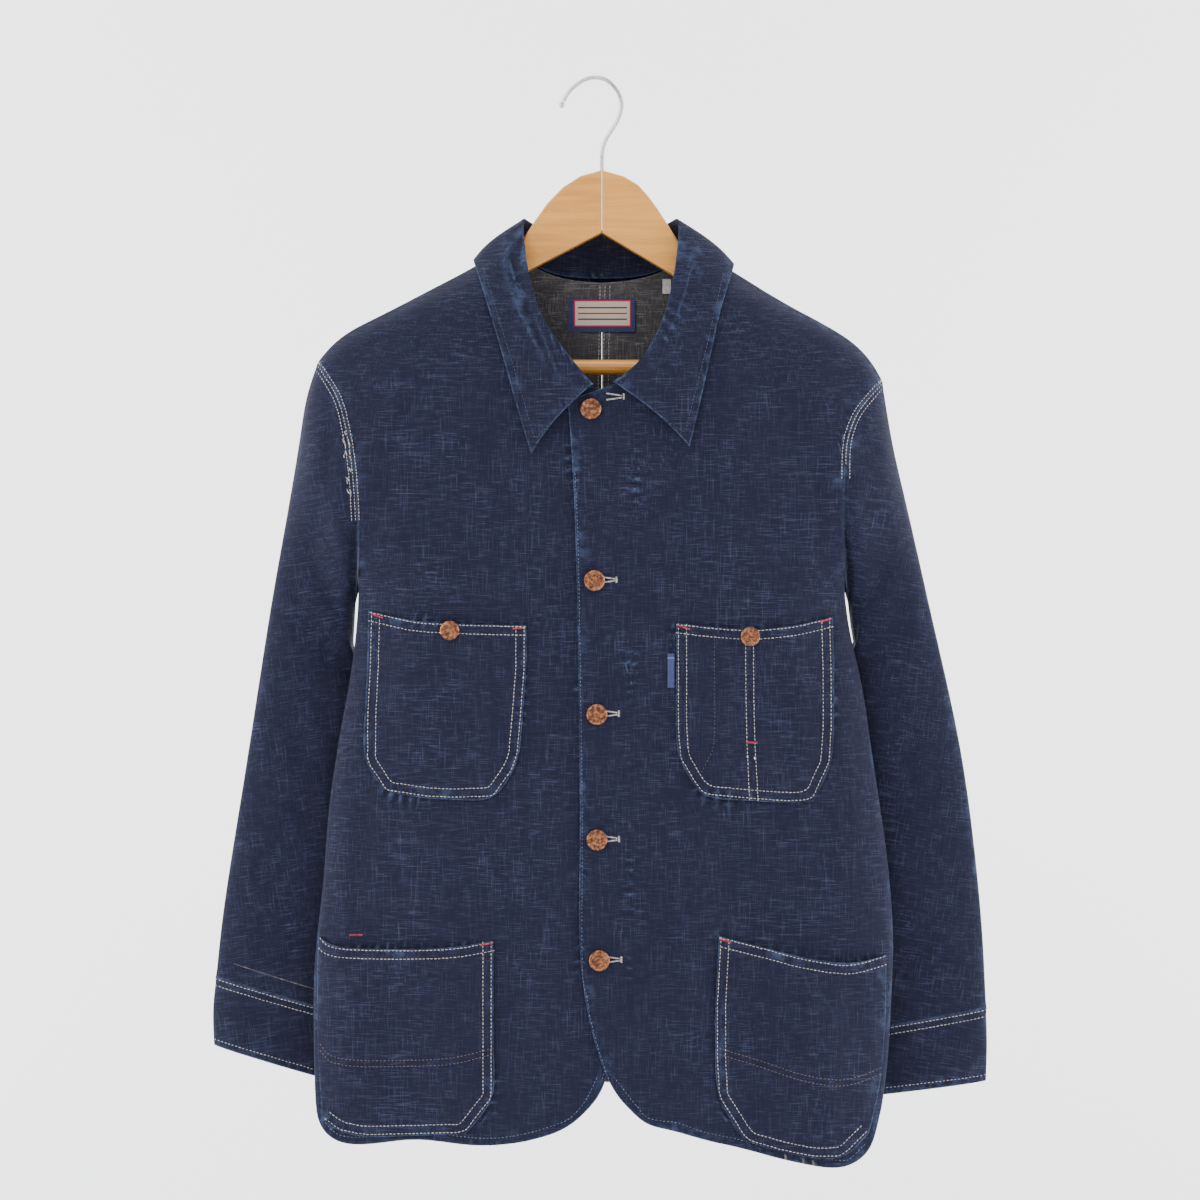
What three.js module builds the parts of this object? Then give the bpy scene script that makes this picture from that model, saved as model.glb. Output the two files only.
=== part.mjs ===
// Denim chore jacket on a wooden hanger. Millimetres, +Z up, the front of the jacket faces -Y.
// The origin is the inside of the hook's crest, where the hanger hangs.
import * as THREE from 'three';

// Driving dimensions
const clothWall = 1.3;
const seamGap = 0.3;
const patchGap = 0.8;
const middleX = 4;
const chestDepthFront = 42;
const hemDepthFront = 27;
const chestDepthBack = 33;
const hemDepthBack = 18;
const sideSeamForward = 14;
const ridgeReach = 130;
const ridgePower = 2.4;
const frontPower = 2.6;
const backPower = 2.1;
const backHemPower = 1.5;
const armholeSpread = 58;
const armholeSpreadHeight = 190;
const underarmZ = -426;
const hemZ = -848;
const lapUnder = 2.6;
const lapStart = 24;
const lapWidth = 18;
const bodyRows = 13;
const armholeShare = 0.32;
const shoulderCrowd = 1.7;
const acrossCrowd = 1.25;
const patchCrowd = 1.6;
const pocketColumns = 8;
const pocketRows = 9;
const sleeveRings = 17;
const cuffRings = 4;
const buttonRadius = 8.6;
const pocketButtonRadius = 8;
const woodThickness = 15;
const woodEdge = 1.4;
const barRadius = 6.5;
const wireRadius = 1.75;
const wireSteps = 44;
const hookBallRadius = 2.7;
const collarRoll = 3.2;
const collarFull = 5;
const ridgeX = 76;

// Outlines as [x, z] pairs, seen from the front
const outline = {
  left: {
    frontEdge: [[37, -269], [32, -325], [29, -430], [27, -599], [27, -731], [22, -759], [18, -783],
      [11, -810], [6, -828]],
    hem: [[6, -836], [-4, -848], [-17, -863], [-32, -870], [-64, -879], [-96, -882], [-149, -877],
      [-194, -882], [-216, -880], [-229, -869], [-232, -857], [-234, -830]],
    neck: [[37, -269], [16, -262], [-4, -259], [-29, -248], [-49, -223], [-64, -189], [-72, -158],
      [-74, -139]],
    shoulder: [[-74, -139], [-102, -156], [-135, -173], [-175, -194], [-210, -212], [-226, -227],
      [-232, -235]],
    armhole: [[-232, -235], [-221, -251], [-212, -267], [-206, -288], [-201, -316], [-198, -350],
      [-197, -388], [-198, -426]],
    side: [[-198, -426], [-202, -478], [-208, -513], [-216, -558], [-223, -608], [-227, -668],
      [-234, -730], [-235, -780], [-234, -830]],
    sleeveOuter: [[-232.2, -235.3], [-241, -256], [-245, -284], [-256, -350], [-271, -433],
      [-292, -566], [-313, -699], [-318, -747]],
    cuffOuter: [[-318, -747.3], [-321, -775], [-320, -804]],
    cuffInner: [[-197, -784.3], [-199, -812], [-201, -841]],
  },
  right: {
    frontEdge: [[-24, -269], [-20, -325], [-17, -400], [-14, -599], [-14, -731], [-10, -759],
      [-6, -783], [2, -810], [8, -828]],
    hem: [[13, -837], [27, -852], [40, -865], [66, -869], [85, -876], [119, -884], [152, -893],
      [202, -901], [215, -896], [226, -886], [232, -866], [237, -847]],
    neck: [[-24, -269], [-6, -262], [12, -257], [37, -246], [57, -221], [71, -188], [79, -159],
      [81, -142]],
    shoulder: [[81, -142], [111, -158], [152, -184], [188, -203], [215, -220], [229, -236],
      [237, -250]],
    armhole: [[237, -250], [227, -261], [216, -274], [209, -287], [204, -305], [203, -333],
      [203, -367], [204, -400], [206, -427]],
    side: [[206, -427], [210, -461], [220, -500], [228, -558], [237, -617], [242, -657], [246, -719],
      [244, -760], [240, -828], [237, -847]],
    sleeveOuter: [[237.2, -250.3], [241, -267], [243, -290], [257, -350], [276, -433], [305, -566],
      [321, -699], [325, -773]],
    cuffOuter: [[325, -773.3], [326, -805], [325, -834]],
    cuffInner: [[198, -797.3], [199, -825], [200, -851]],
  },
};

// Inner fold of each sleeve, which turns in behind the body: side is the distance from the middle
const sleeveInner = [
  { side: 202.4, z: -426.4, y: 0 },
  { side: 206, z: -444, y: 12 },
  { side: 205, z: -476, y: 26 },
  { side: 190, z: -516, y: 34 },
  { side: 166, z: -575, y: 36 },
  { side: 160, z: -645, y: 35 },
  { side: 172, z: -720, y: 32 },
];
const cuffInnerY = 30;
const sleeveOuterY = [[-235, 0], [-330, 3], [-500, 9], [-760, 13], [-860, 14]];
const sleeveHalfDepth = [[0, 0], [0.12, 20], [0.3, 23], [0.6, 20], [1, 16]];

// Soft folds: a ridge (height over 0) or trough along a line from (x0, z0) to (x1, z1)
const frontFolds = [
  { x0: 60, z0: -330, x1: -8, z1: -385, width: 15, height: 2.5 },
  { x0: -60, z0: -320, x1: -20, z1: -420, width: 18, height: 2.2 },
  { x0: -200, z0: -330, x1: -150, z1: -420, width: 18, height: 3 },
  { x0: 200, z0: -320, x1: 160, z1: -430, width: 18, height: 3 },
  { x0: -205, z0: -520, x1: -214, z1: -800, width: 14, height: 3 },
  { x0: 210, z0: -520, x1: 222, z1: -700, width: 14, height: 3 },
  { x0: -40, z0: -640, x1: -50, z1: -900, width: 24, height: 4 },
  { x0: 72, z0: -640, x1: 78, z1: -900, width: 22, height: 4 },
  { x0: -150, z0: -760, x1: -150, z1: -900, width: 30, height: -4 },
  { x0: 190, z0: -780, x1: 200, z1: -920, width: 30, height: 6 },
  { x0: 120, z0: -780, x1: 120, z1: -900, width: 22, height: -3 },
];
const backFolds = [
  { x0: -60, z0: -230, x1: -80, z1: -860, width: 26, height: 4 },
  { x0: 74, z0: -230, x1: 96, z1: -860, width: 26, height: 4 },
  { x0: -120, z0: -260, x1: -190, z1: -360, width: 22, height: 3 },
  { x0: 128, z0: -260, x1: 195, z1: -360, width: 22, height: 3 },
  { x0: 0, z0: -560, x1: 10, z1: -860, width: 34, height: -4 },
];
const sleeveFolds = [
  { v: 0.27, lean: 0.08, width: 0.04, height: 2.5 },
  { v: 0.36, lean: -0.1, width: 0.03, height: -2.5 },
  { v: 0.5, lean: 0.12, width: 0.03, height: 3 },
  { v: 0.62, lean: -0.08, width: 0.03, height: -2.5 },
  { v: 0.8, lean: 0.06, width: 0.035, height: 2.5 },
];

// Collar stations from the photo's left front round the back to the right front.
// seam is where the stand is sewn, fold is its rolled top, edge is the outer edge of the leaf,
// and ridge marks the two stations on the shoulder seams.
const collarStations = [
  { seam: [-4, -257], fold: [-4, -6.5, -256], edge: [-54, -16, -313] },
  { seam: [-29, -246], fold: [-22, -6, -233], edge: [-66, -9, -274] },
  { seam: [-49, -221], fold: [-43, -3, -203], edge: [-77, -6, -234] },
  { seam: [-64, -186], fold: [-55, 1, -171], edge: [-88, -5, -197] },
  { seam: [-71, -158], fold: [-60, 4, -139], edge: [-96, -5, -171] },
  { seam: [-74, -137], fold: [-61, 0, -115], edge: [-103, 0, -151], ridge: true },
  { seam: [-62, -148], fold: [-53, 0, -118], edge: [-88, 5, -176] },
  { seam: [-36, -162], fold: [-31, 0, -121], edge: [-52, 5, -191] },
  { seam: [4, -165], fold: [4, 0, -122], edge: [4, 5, -195] },
  { seam: [44, -162], fold: [38, 0, -121], edge: [60, 5, -192] },
  { seam: [69, -150], fold: [58, 0, -118], edge: [97, 5, -178] },
  { seam: [81, -140], fold: [67, 0, -115], edge: [114, 0, -154], ridge: true },
  { seam: [78, -160], fold: [67, 4, -141], edge: [108, -5, -174] },
  { seam: [71, -187], fold: [60, 1, -184], edge: [101, -5, -197] },
  { seam: [57, -219], fold: [49, -3, -216], edge: [93, -6, -234] },
  { seam: [38, -244], fold: [32, -6, -240], edge: [85, -9, -270] },
  { seam: [14, -255], fold: [14, -7.5, -254], edge: [76, -16, -307] },
];

// Pockets: each side of the outline as [x, z], the mouth's puff, and the side whose columns crowd together
const pockets = {
  chest_pocket_left: {
    top: [[-188, -442], [-152, -450], [-126, -452], [-100, -453], [-58, -454]],
    right: [[-58, -454], [-58, -489], [-61, -528], [-64, -561], [-69, -574]],
    bottom: [[-174, -591], [-141, -596], [-119, -597], [-85, -596], [-69, -574]],
    left: [[-188, -442], [-189, -489], [-191, -528], [-191, -567], [-174, -591]],
    puff: 2,
  },
  chest_pocket_right: {
    top: [[65, -452], [92, -455], [118, -457], [134, -457], [163, -454], [194, -447]],
    right: [[194, -447], [195, -491], [195, -538], [193, -567], [178, -599]],
    bottom: [[78, -582], [87, -594], [128, -598], [157, -600], [178, -599]],
    left: [[65, -452], [65, -491], [65, -538], [67, -563], [78, -582]],
    puff: 2,
  },
  lower_pocket_left: {
    top: [[-229, -711], [-218, -718], [-186, -720], [-124, -719], [-85, -713]],
    right: [[-85, -713], [-85, -760], [-85, -800], [-85, -842], [-108, -872]],
    bottom: [[-226, -862], [-213, -871], [-192, -875], [-150, -874], [-108, -872]],
    left: [[-229, -711], [-230, -760], [-229, -810], [-226, -862]],
    puff: 4,
    crowd: -1,
  },
  lower_pocket_right: {
    top: [[100, -709], [139, -719], [165, -726], [192, -731], [211, -732], [238, -726]],
    right: [[238, -726], [237, -780], [233, -830], [224, -872]],
    bottom: [[122, -878], [152, -887], [178, -892], [202, -892], [224, -872]],
    left: [[100, -709], [97, -765], [97, -811], [99, -842], [122, -878]],
    puff: 5,
    crowd: 1,
  },
};

const frontButtons = [
  { x: -5, z: -276 },
  { x: -2, z: -417 },
  { x: 0, z: -527 },
  { x: 0, z: -630 },
  { x: 2, z: -729 },
];
const hookRoute = [
  [-28, -18], [-24, -11], [-17, -4.5], [-10, 0], [-2, 1.75], [7, 0], [14, -6],
  [19, -14], [20.5, -22], [18, -32], [13, -41], [7, -51], [4.5, -60], [4, -75.6],
];
const woodTop = {
  left: [[4, -76], [-14, -81], [-28, -90], [-41, -103], [-51, -117], [-60, -131], [-68, -145.5],
    [-102, -163],
    [-135, -181], [-175, -202], [-203, -218]],
  right: [[4, -76], [22, -81], [34, -88], [43, -98], [51, -109], [60, -123], [68, -136],
    [76, -149.5], [111, -165.5],
    [152, -191.5], [188, -210.5], [206, -224.5]],
};
const woodUnder = {
  left: [[-209, -224], [-208, -240], [-202, -249], [-190, -249], [-183, -243], [-183, -224.6],
    [-56, -159], [4, -128]],
  right: [[213, -232], [213, -243], [208, -250], [192, -250], [185, -243], [185, -231.5],
    [63, -163], [4, -128]],
};
const barZ = -239.5;

const colours = {
  denim: 0x2c3456,
  copper: 0xa86440,
  wood: 0xd9a54e,
  wire: 0x8d8a84,
  label: 0x26305a,
  sizeLabel: 0xe8e4da,
  tab: 0x2a3260,
};

// Small numeric helpers
const clamp01 = (value) => Math.min(1, Math.max(0, value));
const lerp = (a, b, t) => a + (b - a) * t;
const smooth = (t) => clamp01(t) ** 2 * (3 - 2 * clamp01(t));
// Rises from 0 at an edge to 1 inside, round like a superellipse
const rounded = (s, power) => (1 - (1 - clamp01(s)) ** power) ** (1 / power);

const smoothCurve = (points) => new THREE.CatmullRomCurve3(points, false, 'centripetal');
const inSeamPlane = (pairs) => pairs.map(([x, z]) => new THREE.Vector3(x, 0, z));

function curveThrough(pairs) {
  const curve = smoothCurve(inSeamPlane(pairs));
  curve.arcLengthDivisions = 400;
  return (t) => {
    const point = curve.getPointAt(clamp01(t));
    return [point.x, point.z];
  };
}

// Reads a table of [key, value] rows, whose keys may rise or fall
function tableAt(rows, key) {
  const rising = rows[rows.length - 1][0] > rows[0][0];
  for (let i = 1; i < rows.length; i += 1) {
    const [k0, v0] = rows[i - 1];
    const [k1, v1] = rows[i];
    if (rising ? key <= k1 : key >= k1) return lerp(v0, v1, clamp01((key - k0) / (k1 - k0)));
  }
  return rows[rows.length - 1][1];
}

const swapped = (pairs) => pairs.map(([x, z]) => [z, x]);
const sideRows = { left: swapped(outline.left.side), right: swapped(outline.right.side) };
const ridgeRows = {
  left: [[60, -126], [4, -122], [-30, -126], ...outline.left.shoulder, [-262, -275]],
  right: [[-60, -126], [4, -122], [40, -127], ...outline.right.shoulder, [262, -285]],
};

// Distance out from the middle where front and back would meet: the side seam, or past the armhole above it
function sideReach(side, z) {
  const seam = Math.abs(tableAt(sideRows[side], z) - middleX);
  const above = z - underarmZ;
  return above > 0 ? seam + armholeSpread * Math.sqrt(clamp01(above / armholeSpreadHeight)) : seam;
}

const sideOf = (x) => (x < middleX ? 'left' : 'right');
const ridgeZ = (x) => tableAt(ridgeRows[sideOf(x)], x);
const downBody = (z) => clamp01((underarmZ - z) / (underarmZ - hemZ));
const seamY = (z) => -sideSeamForward * smooth(downBody(z));

function foldHeight(folds, x, z) {
  let height = 0;
  for (const fold of folds) {
    const dx = fold.x1 - fold.x0;
    const dz = fold.z1 - fold.z0;
    const along = clamp01(((x - fold.x0) * dx + (z - fold.z0) * dz) / (dx * dx + dz * dz));
    const away = Math.hypot(x - fold.x0 - along * dx, z - fold.z0 - along * dz) / fold.width;
    height += fold.height * Math.exp(-away * away);
  }
  return height;
}

// The back flattens towards the hem from a little above the underarm
const backEarly = 60;

// How far a panel stands off the seam plane: 0 at the ridge and the side, full inside
function bulge(x, z, power) {
  const reach = sideReach(sideOf(x), z);
  const fromSide = rounded((reach - Math.abs(x - middleX)) / reach, power);
  const fromRidge = rounded((ridgeZ(x) - z) / ridgeReach, ridgePower);
  return fromSide * fromRidge;
}

function frontY(x, z) {
  const round = bulge(x, z, frontPower);
  return seamY(z) - seamGap / 2 - round * lerp(chestDepthFront, hemDepthFront, downBody(z))
    - round * foldHeight(frontFolds, x, z);
}

function backY(x, z) {
  const round = bulge(x, z, lerp(backPower, backHemPower, downBody(z + backEarly)));
  return seamY(z) + seamGap / 2 + round * lerp(chestDepthBack, hemDepthBack, downBody(z))
    + round * foldHeight(backFolds, x, z);
}

// A cloth wall from a grid of outer points. ring closes each row on itself, inward(row, column) may give the
// direction of the wall at an edge, and flip turns the outer side round.
function wall(grid, { ring = false, flip = false, inward = () => null, thickness = clothWall } = {}) {
  const rows = grid.length;
  const columns = grid[0].length;
  const at = (r, c) => grid[r][ring ? (c + columns) % columns : Math.min(columns - 1, Math.max(0, c))];
  const inner = grid.map((row, r) => row.map((point, c) => {
    const down = at(Math.min(rows - 1, r + 1), c).clone().sub(at(Math.max(0, r - 1), c));
    const across = at(r, c + 1).clone().sub(at(r, c - 1));
    const normal = across.cross(down).normalize().multiplyScalar(flip ? -1 : 1);
    const direction = inward(r, c) ?? normal;
    return point.clone().addScaledVector(direction, thickness);
  }));
  const positions = [...grid.flat(), ...inner.flat()].flatMap((p) => [p.x, p.y, p.z]);
  const outside = (r, c) => r * columns + (c % columns);
  const inside = (r, c) => rows * columns + outside(r, c);
  const faces = [];
  const quad = (a, b, c, d) => faces.push(a, b, c, a, c, d);
  const lastColumn = ring ? columns : columns - 1;
  for (let r = 0; r < rows - 1; r += 1) {
    for (let c = 0; c < lastColumn; c += 1) {
      quad(outside(r, c), outside(r + 1, c), outside(r + 1, c + 1), outside(r, c + 1));
      quad(inside(r, c), inside(r, c + 1), inside(r + 1, c + 1), inside(r + 1, c));
    }
  }
  for (let c = 0; c < lastColumn; c += 1) {
    quad(outside(0, c), outside(0, c + 1), inside(0, c + 1), inside(0, c));
    quad(outside(rows - 1, c + 1), outside(rows - 1, c), inside(rows - 1, c), inside(rows - 1, c + 1));
  }
  const end = columns - 1;
  for (let r = 0; r < rows - 1 && !ring; r += 1) {
    quad(outside(r + 1, 0), outside(r, 0), inside(r, 0), inside(r + 1, 0));
    quad(outside(r, end), outside(r + 1, end), inside(r + 1, end), inside(r, end));
  }
  for (let i = 0; flip && i < faces.length; i += 3) {
    [faces[i + 1], faces[i + 2]] = [faces[i + 2], faces[i + 1]];
  }
  const geometry = new THREE.BufferGeometry();
  geometry.setAttribute('position', new THREE.Float32BufferAttribute(positions, 3));
  geometry.setIndex(faces);
  return geometry;
}

// Fills the inside of four boundary lines of points, each [x, z]
function fill(top, bottom, first, last) {
  const columns = top.length;
  const rows = first.length;
  return first.map((_, r) => top.map((__, c) => {
    const v = r / (rows - 1);
    const u = c / (columns - 1);
    return [0, 1].map((k) => (1 - v) * top[c][k] + v * bottom[c][k] + (1 - u) * first[r][k] + u * last[r][k]
      - (1 - u) * (1 - v) * top[0][k] - u * (1 - v) * top[columns - 1][k]
      - (1 - u) * v * bottom[0][k] - u * v * bottom[columns - 1][k]);
  }));
}

const range = (count) => Array.from({ length: count + 1 }, (_, i) => i / count);
// Steps that grow smaller towards 1, so that the rounded side has enough columns
const towardsEdge = (count, power) => range(count).map((t) => 1 - (1 - t) ** power);

// Armhole points shared by the body and the sleeve, from the shoulder to the underarm
const armholeSteps = [0, 0.03, 0.09, 0.2, 0.34, 0.5, 0.66, 0.81, 0.92, 1];
const armholeRows = armholeSteps.length - 1;
const armholes = {};
for (const side of ['left', 'right']) {
  const curve = curveThrough(outline[side].armhole);
  armholes[side] = armholeSteps.map((t) => {
    const [x, z] = curve(t);
    const [xNear, zNear] = curve(t + (t < 0.5 ? 0.02 : -0.02));
    const tangent = new THREE.Vector3(xNear - x, 0, zNear - z).normalize().multiplyScalar(t < 0.5 ? 1 : -1);
    return { t, x, z, tangent };
  });
}

// The wall's direction at an armhole: along the seam at its two ends, and straight in between
function armholeInward(side, index, towardsBack) {
  const { t, tangent } = armholes[side][index];
  const along = tangent.clone().multiplyScalar(Math.cos(Math.PI * t));
  return along.add(new THREE.Vector3(0, towardsBack * Math.sqrt(Math.sin(Math.PI * t)), 0)).normalize();
}

const rowSteps = [
  ...armholeSteps.map((t) => t * armholeShare),
  ...range(bodyRows).slice(1).map((t) => lerp(armholeShare, 1, t)),
];

// A body panel from its neck, shoulder, armhole, side seam and hem
function panel(side, { neck, hem, edge, depth, neckColumns, shoulderColumns, isBack }) {
  const neckLine = curveThrough(neck);
  const shoulderLine = curveThrough(outline[side].shoulder);
  const hemLine = curveThrough(hem);
  const edgeLine = curveThrough(edge);
  const sideLine = curveThrough(outline[side].side);
  const alongShoulder = towardsEdge(shoulderColumns, shoulderCrowd).slice(1);
  const top = [...range(neckColumns).map(neckLine), ...alongShoulder.map(shoulderLine)];
  const across = towardsEdge(neckColumns + shoulderColumns, acrossCrowd);
  const bottom = across.map(hemLine);
  const last = [...armholes[side].map(({ x, z }) => [x, z]), ...range(bodyRows).slice(1).map(sideLine)];
  const first = rowSteps.map(edgeLine);
  first[0] = top[0];
  first[first.length - 1] = bottom[0];
  const flat = fill(top, bottom, first, last);
  const lastColumn = top.length - 1;
  const grid = flat.map((row, r) => row.map(([x, z], c) => {
    const onSeam = (c === lastColumn && r >= armholeRows) || (r === 0 && c >= neckColumns);
    return new THREE.Vector3(x, onSeam ? seamY(z) + (isBack ? 0.5 : -0.5) * seamGap : depth(x, z), z);
  }));
  const inX = new THREE.Vector3(side === 'left' ? 1 : -1, 0, 0);
  const down = new THREE.Vector3(0, 0, -1);
  const through = isBack ? -1 : 1;
  const inward = (r, c) => {
    if (c === lastColumn && r === armholeRows) return inX.clone().sub(down).normalize();
    if (c === lastColumn && r < armholeRows) return armholeInward(side, r, through);
    if (c === lastColumn) return inX;
    if (r === 0 && c >= neckColumns) return down;
    if (c === 0 || (r === 0 && isBack)) return new THREE.Vector3(0, through, 0);
    return null;
  };
  return wall(grid, { inward, flip: (side === 'left') !== isBack });
}

// The under front drops back where the other front laps over it
const lapEdge = swapped(outline.right.frontEdge);
const underLap = (x, z) => smooth((x - tableAt(lapEdge, z) + lapStart) / lapWidth);
const underFrontY = (x, z) => frontY(x, z) + lapUnder * underLap(x, z);

const meshes = [];
function add(name, geometry, colour, { roughness = 0.9, metalness = 0 } = {}) {
  const material = new THREE.MeshStandardMaterial({ color: colour, roughness, metalness });
  const mesh = new THREE.Mesh(geometry, material);
  mesh.name = name;
  meshes.push(mesh);
  return mesh;
}

add('front_left', panel('left', {
  neck: outline.left.neck, hem: outline.left.hem, edge: [...outline.left.frontEdge, outline.left.hem[0]],
  depth: underFrontY, neckColumns: 7, shoulderColumns: 10, isBack: false,
}), colours.denim);
add('front_right', panel('right', {
  neck: outline.right.neck, hem: outline.right.hem, edge: [...outline.right.frontEdge, outline.right.hem[0]],
  depth: frontY, neckColumns: 7, shoulderColumns: 10, isBack: false,
}), colours.denim);

const backNeck = {
  left: [[middleX, -167], [-30, -164], [-56, -153], [-74, -139]],
  right: [[middleX, -167], [38, -164], [64, -154], [81, -142]],
};
const backHem = {
  left: [[middleX, -834], [-80, -834], [-160, -832], [-234, -830]],
  right: [[middleX, -834], [80, -836], [160, -840], [237, -847]],
};
for (const side of ['left', 'right']) {
  const shift = side === 'left' ? -seamGap / 2 : seamGap / 2;
  const move = ([x, z], i) => [i === 0 ? x + shift : x, z];
  add(`back_${side}`, panel(side, {
    neck: backNeck[side].map(move), hem: backHem[side].map(move),
    edge: [[middleX + shift, -167], [middleX + shift, -500], [middleX + shift, -834]],
    depth: backY, neckColumns: 4, shoulderColumns: 9, isBack: true,
  }), colours.denim);
}

// Sleeves: rings from the armhole to the cuff seam, each from its outer fold to its inner fold and back
const ringAcross = (t) => (1 - Math.cos(Math.PI * t)) / 2;
const ringDepth = (t) => Math.sin(Math.PI * t) ** 0.8;

// The rings fan out round the underarm, where the inner fold starts slowly
const innerLag = 1.2;
function sleeveFrame(side, v) {
  const sign = side === 'left' ? -1 : 1;
  const outer = curveThrough(outline[side].sleeveOuter)(v);
  const [cuffX, cuffZ] = outline[side].cuffInner[0];
  const innerRows = sleeveInner.map((row) => [sign * row.side + middleX, row.z]);
  const inner = curveThrough([...innerRows, [cuffX, cuffZ + seamGap]])(v ** innerLag);
  const depths = [...sleeveInner.map((row) => [row.z, row.y]), [cuffZ, cuffInnerY]];
  return {
    outer: new THREE.Vector3(outer[0], tableAt(sleeveOuterY, outer[1]), outer[1]),
    inner: new THREE.Vector3(inner[0], tableAt(depths, inner[1]), inner[1]),
    half: tableAt(sleeveHalfDepth, v),
  };
}

function ringPoint(frame, t, facing) {
  const point = frame.outer.clone().lerp(frame.inner, ringAcross(t));
  point.y += facing * frame.half * ringDepth(t);
  return point;
}

// Direction of the wall in the plane of a ring, so that two rings meet face to face
function ringInward(frame, t, facing) {
  const step = 0.01;
  const across = frame.inner.clone().sub(frame.outer);
  if (t === 0 || t === 1) return across.normalize().multiplyScalar(t === 0 ? 1 : -1);
  const before = ringPoint(frame, clamp01(t - step), facing);
  const tangent = ringPoint(frame, clamp01(t + step), facing).sub(before);
  const plane = across.cross(new THREE.Vector3(0, 1, 0));
  return tangent.cross(plane).normalize().multiplyScalar(-facing);
}

// Keeps a sleeve's points outside the armhole above the underarm, and behind the body's side below it
const armholeRowsOf = (side) => armholes[side].map(({ x, z }) => [z, Math.abs(x - middleX)]);
const sleeveClear = 4;
const sleeveLift = 8;
const liftWidth = 16;
const armholeClear = 3.2;
const underarmTurn = 70;
// How the sleeve's front falls back from the armhole seam to behind the body, over a height at the underarm
const armholeEase = 40;
const armholeEaseFrom = 60;
const armholeEaseTo = 18;
function clearOfBody(point, side) {
  const sign = side === 'left' ? -1 : 1;
  const below = underarmZ - point.z;
  const edge = below < 0 ? tableAt(armholeRowsOf(side), point.z) : sideReach(side, point.z);
  let out = sign * (point.x - middleX);
  if (below < underarmTurn) {
    out = Math.max(out, edge + armholeClear);
    point.x = middleX + sign * out;
  }
  const past = out - edge;
  const body = past > 0 ? seamY(point.z) - past : backY(point.x, point.z);
  const behind = sleeveClear + sleeveLift * Math.exp(-Math.abs(past) / liftWidth);
  const ease = armholeEase * (1 - smooth((below + armholeEaseFrom) / (armholeEaseFrom + armholeEaseTo)));
  point.y = Math.max(point.y, body + behind - ease);
  return point;
}

// Columns of one half of a sleeve, from the outer fold to the inner one, and of a whole ring
const halfColumns = (facing) => armholeSteps.map((t, index) => ({ t, index, facing }));
const ringColumns = [...halfColumns(-1), ...halfColumns(1).slice(1, -1).reverse()];

// The armhole's outline fades out over the first share of the sleeve, and the creases end before the cuff
const armholeBlend = 0.3;
const creaseEnd = 0.97;

// The top sleeve faces the front and the under sleeve the back, with their seams on the two folds
function sleeve(side, facing) {
  const sign = side === 'left' ? -1 : 1;
  const columns = halfColumns(facing);
  const start = sleeveFrame(side, 0);
  start.inner.set(armholes[side][armholeRows].x + sign * seamGap, 0, armholes[side][armholeRows].z - seamGap);
  start.outer.y = 0;
  const armholePoint = ({ index }) => {
    const { x, z } = armholes[side][index];
    if (index === 0) return start.outer.clone();
    if (index === armholeRows) return start.inner.clone();
    return new THREE.Vector3(x + sign * seamGap, facing < 0 ? frontY(x, z) : backY(x, z), z);
  };
  const ringPoints = (v, ring) => {
    const frame = ring === 0 ? start : sleeveFrame(side, v);
    const keep = 1 - smooth(v / armholeBlend);
    return columns.map((column) => {
      const point = ringPoint(frame, column.t, facing);
      point.addScaledVector(armholePoint(column).sub(ringPoint({ ...start, half: 0 }, column.t, 1)), keep);
      if (ring === 0 || v > creaseEnd) return point;
      let crease = 0;
      for (const fold of sleeveFolds) {
        const away = (v - fold.v - fold.lean * (column.t - 0.5) * facing) / fold.width;
        crease += fold.height * Math.exp(-away * away);
      }
      point.y += facing * crease * Math.sin(Math.PI * column.t);
      return clearOfBody(point, side);
    });
  };
  const grid = range(sleeveRings).map(ringPoints);
  for (const row of grid) {
    row[0].y += facing * seamGap / 2;
    row[armholeRows].y += facing * seamGap / 2;
  }
  const last = sleeveFrame(side, 1);
  const inward = (r, c) => {
    const { t, index } = columns[c];
    if (r === 0) return armholeInward(side, index, -facing);
    if (r === sleeveRings) return ringInward(last, t, facing);
    if (t > 0 && t < 1) return null;
    return grid[r][armholeRows].clone().sub(grid[r][0]).normalize().multiplyScalar(t === 0 ? 1 : -1);
  };
  return wall(grid, { inward, flip: (side === 'right') === (facing < 0) });
}

function cuff(side) {
  const outerLine = curveThrough(outline[side].cuffOuter);
  const innerLine = curveThrough(outline[side].cuffInner);
  const top = sleeveFrame(side, 1);
  const inward = (r, c) => (r === 0 ? ringInward(top, ringColumns[c].t, ringColumns[c].facing) : null);
  const grid = range(cuffRings).map((v) => {
    const [xOuter, zOuter] = outerLine(v);
    const [xInner, zInner] = innerLine(v);
    const frame = {
      outer: new THREE.Vector3(xOuter, top.outer.y + v, zOuter),
      inner: new THREE.Vector3(xInner, top.inner.y, zInner),
      half: top.half + 0.5 * v,
    };
    return ringColumns.map((column) => ringPoint(frame, column.t, column.facing));
  });
  return wall(grid, { ring: true, inward, flip: side === 'right' });
}

for (const side of ['left', 'right']) {
  add(`top_sleeve_${side}`, sleeve(side, -1), colours.denim);
  add(`under_sleeve_${side}`, sleeve(side, 1), colours.denim);
  add(`cuff_${side}`, cuff(side), colours.denim);
}

// Collar: the stand leans in to the fold, and the leaf falls outside it, clear of the panels
const collarClear = 3;
const edgeShare = 0.12;
const leafSteps = [0.12, 0.35, 0.6, 0.82, 1];
// Height of the shoulder's cloth at a distance y from the ridge
function shoulderTop(x, y) {
  const depth = y < 0 ? chestDepthFront : chestDepthBack;
  return ridgeZ(x) - ridgeReach * (1 - (1 - clamp01(Math.abs(y) / depth) ** ridgePower) ** (1 / ridgePower));
}

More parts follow.
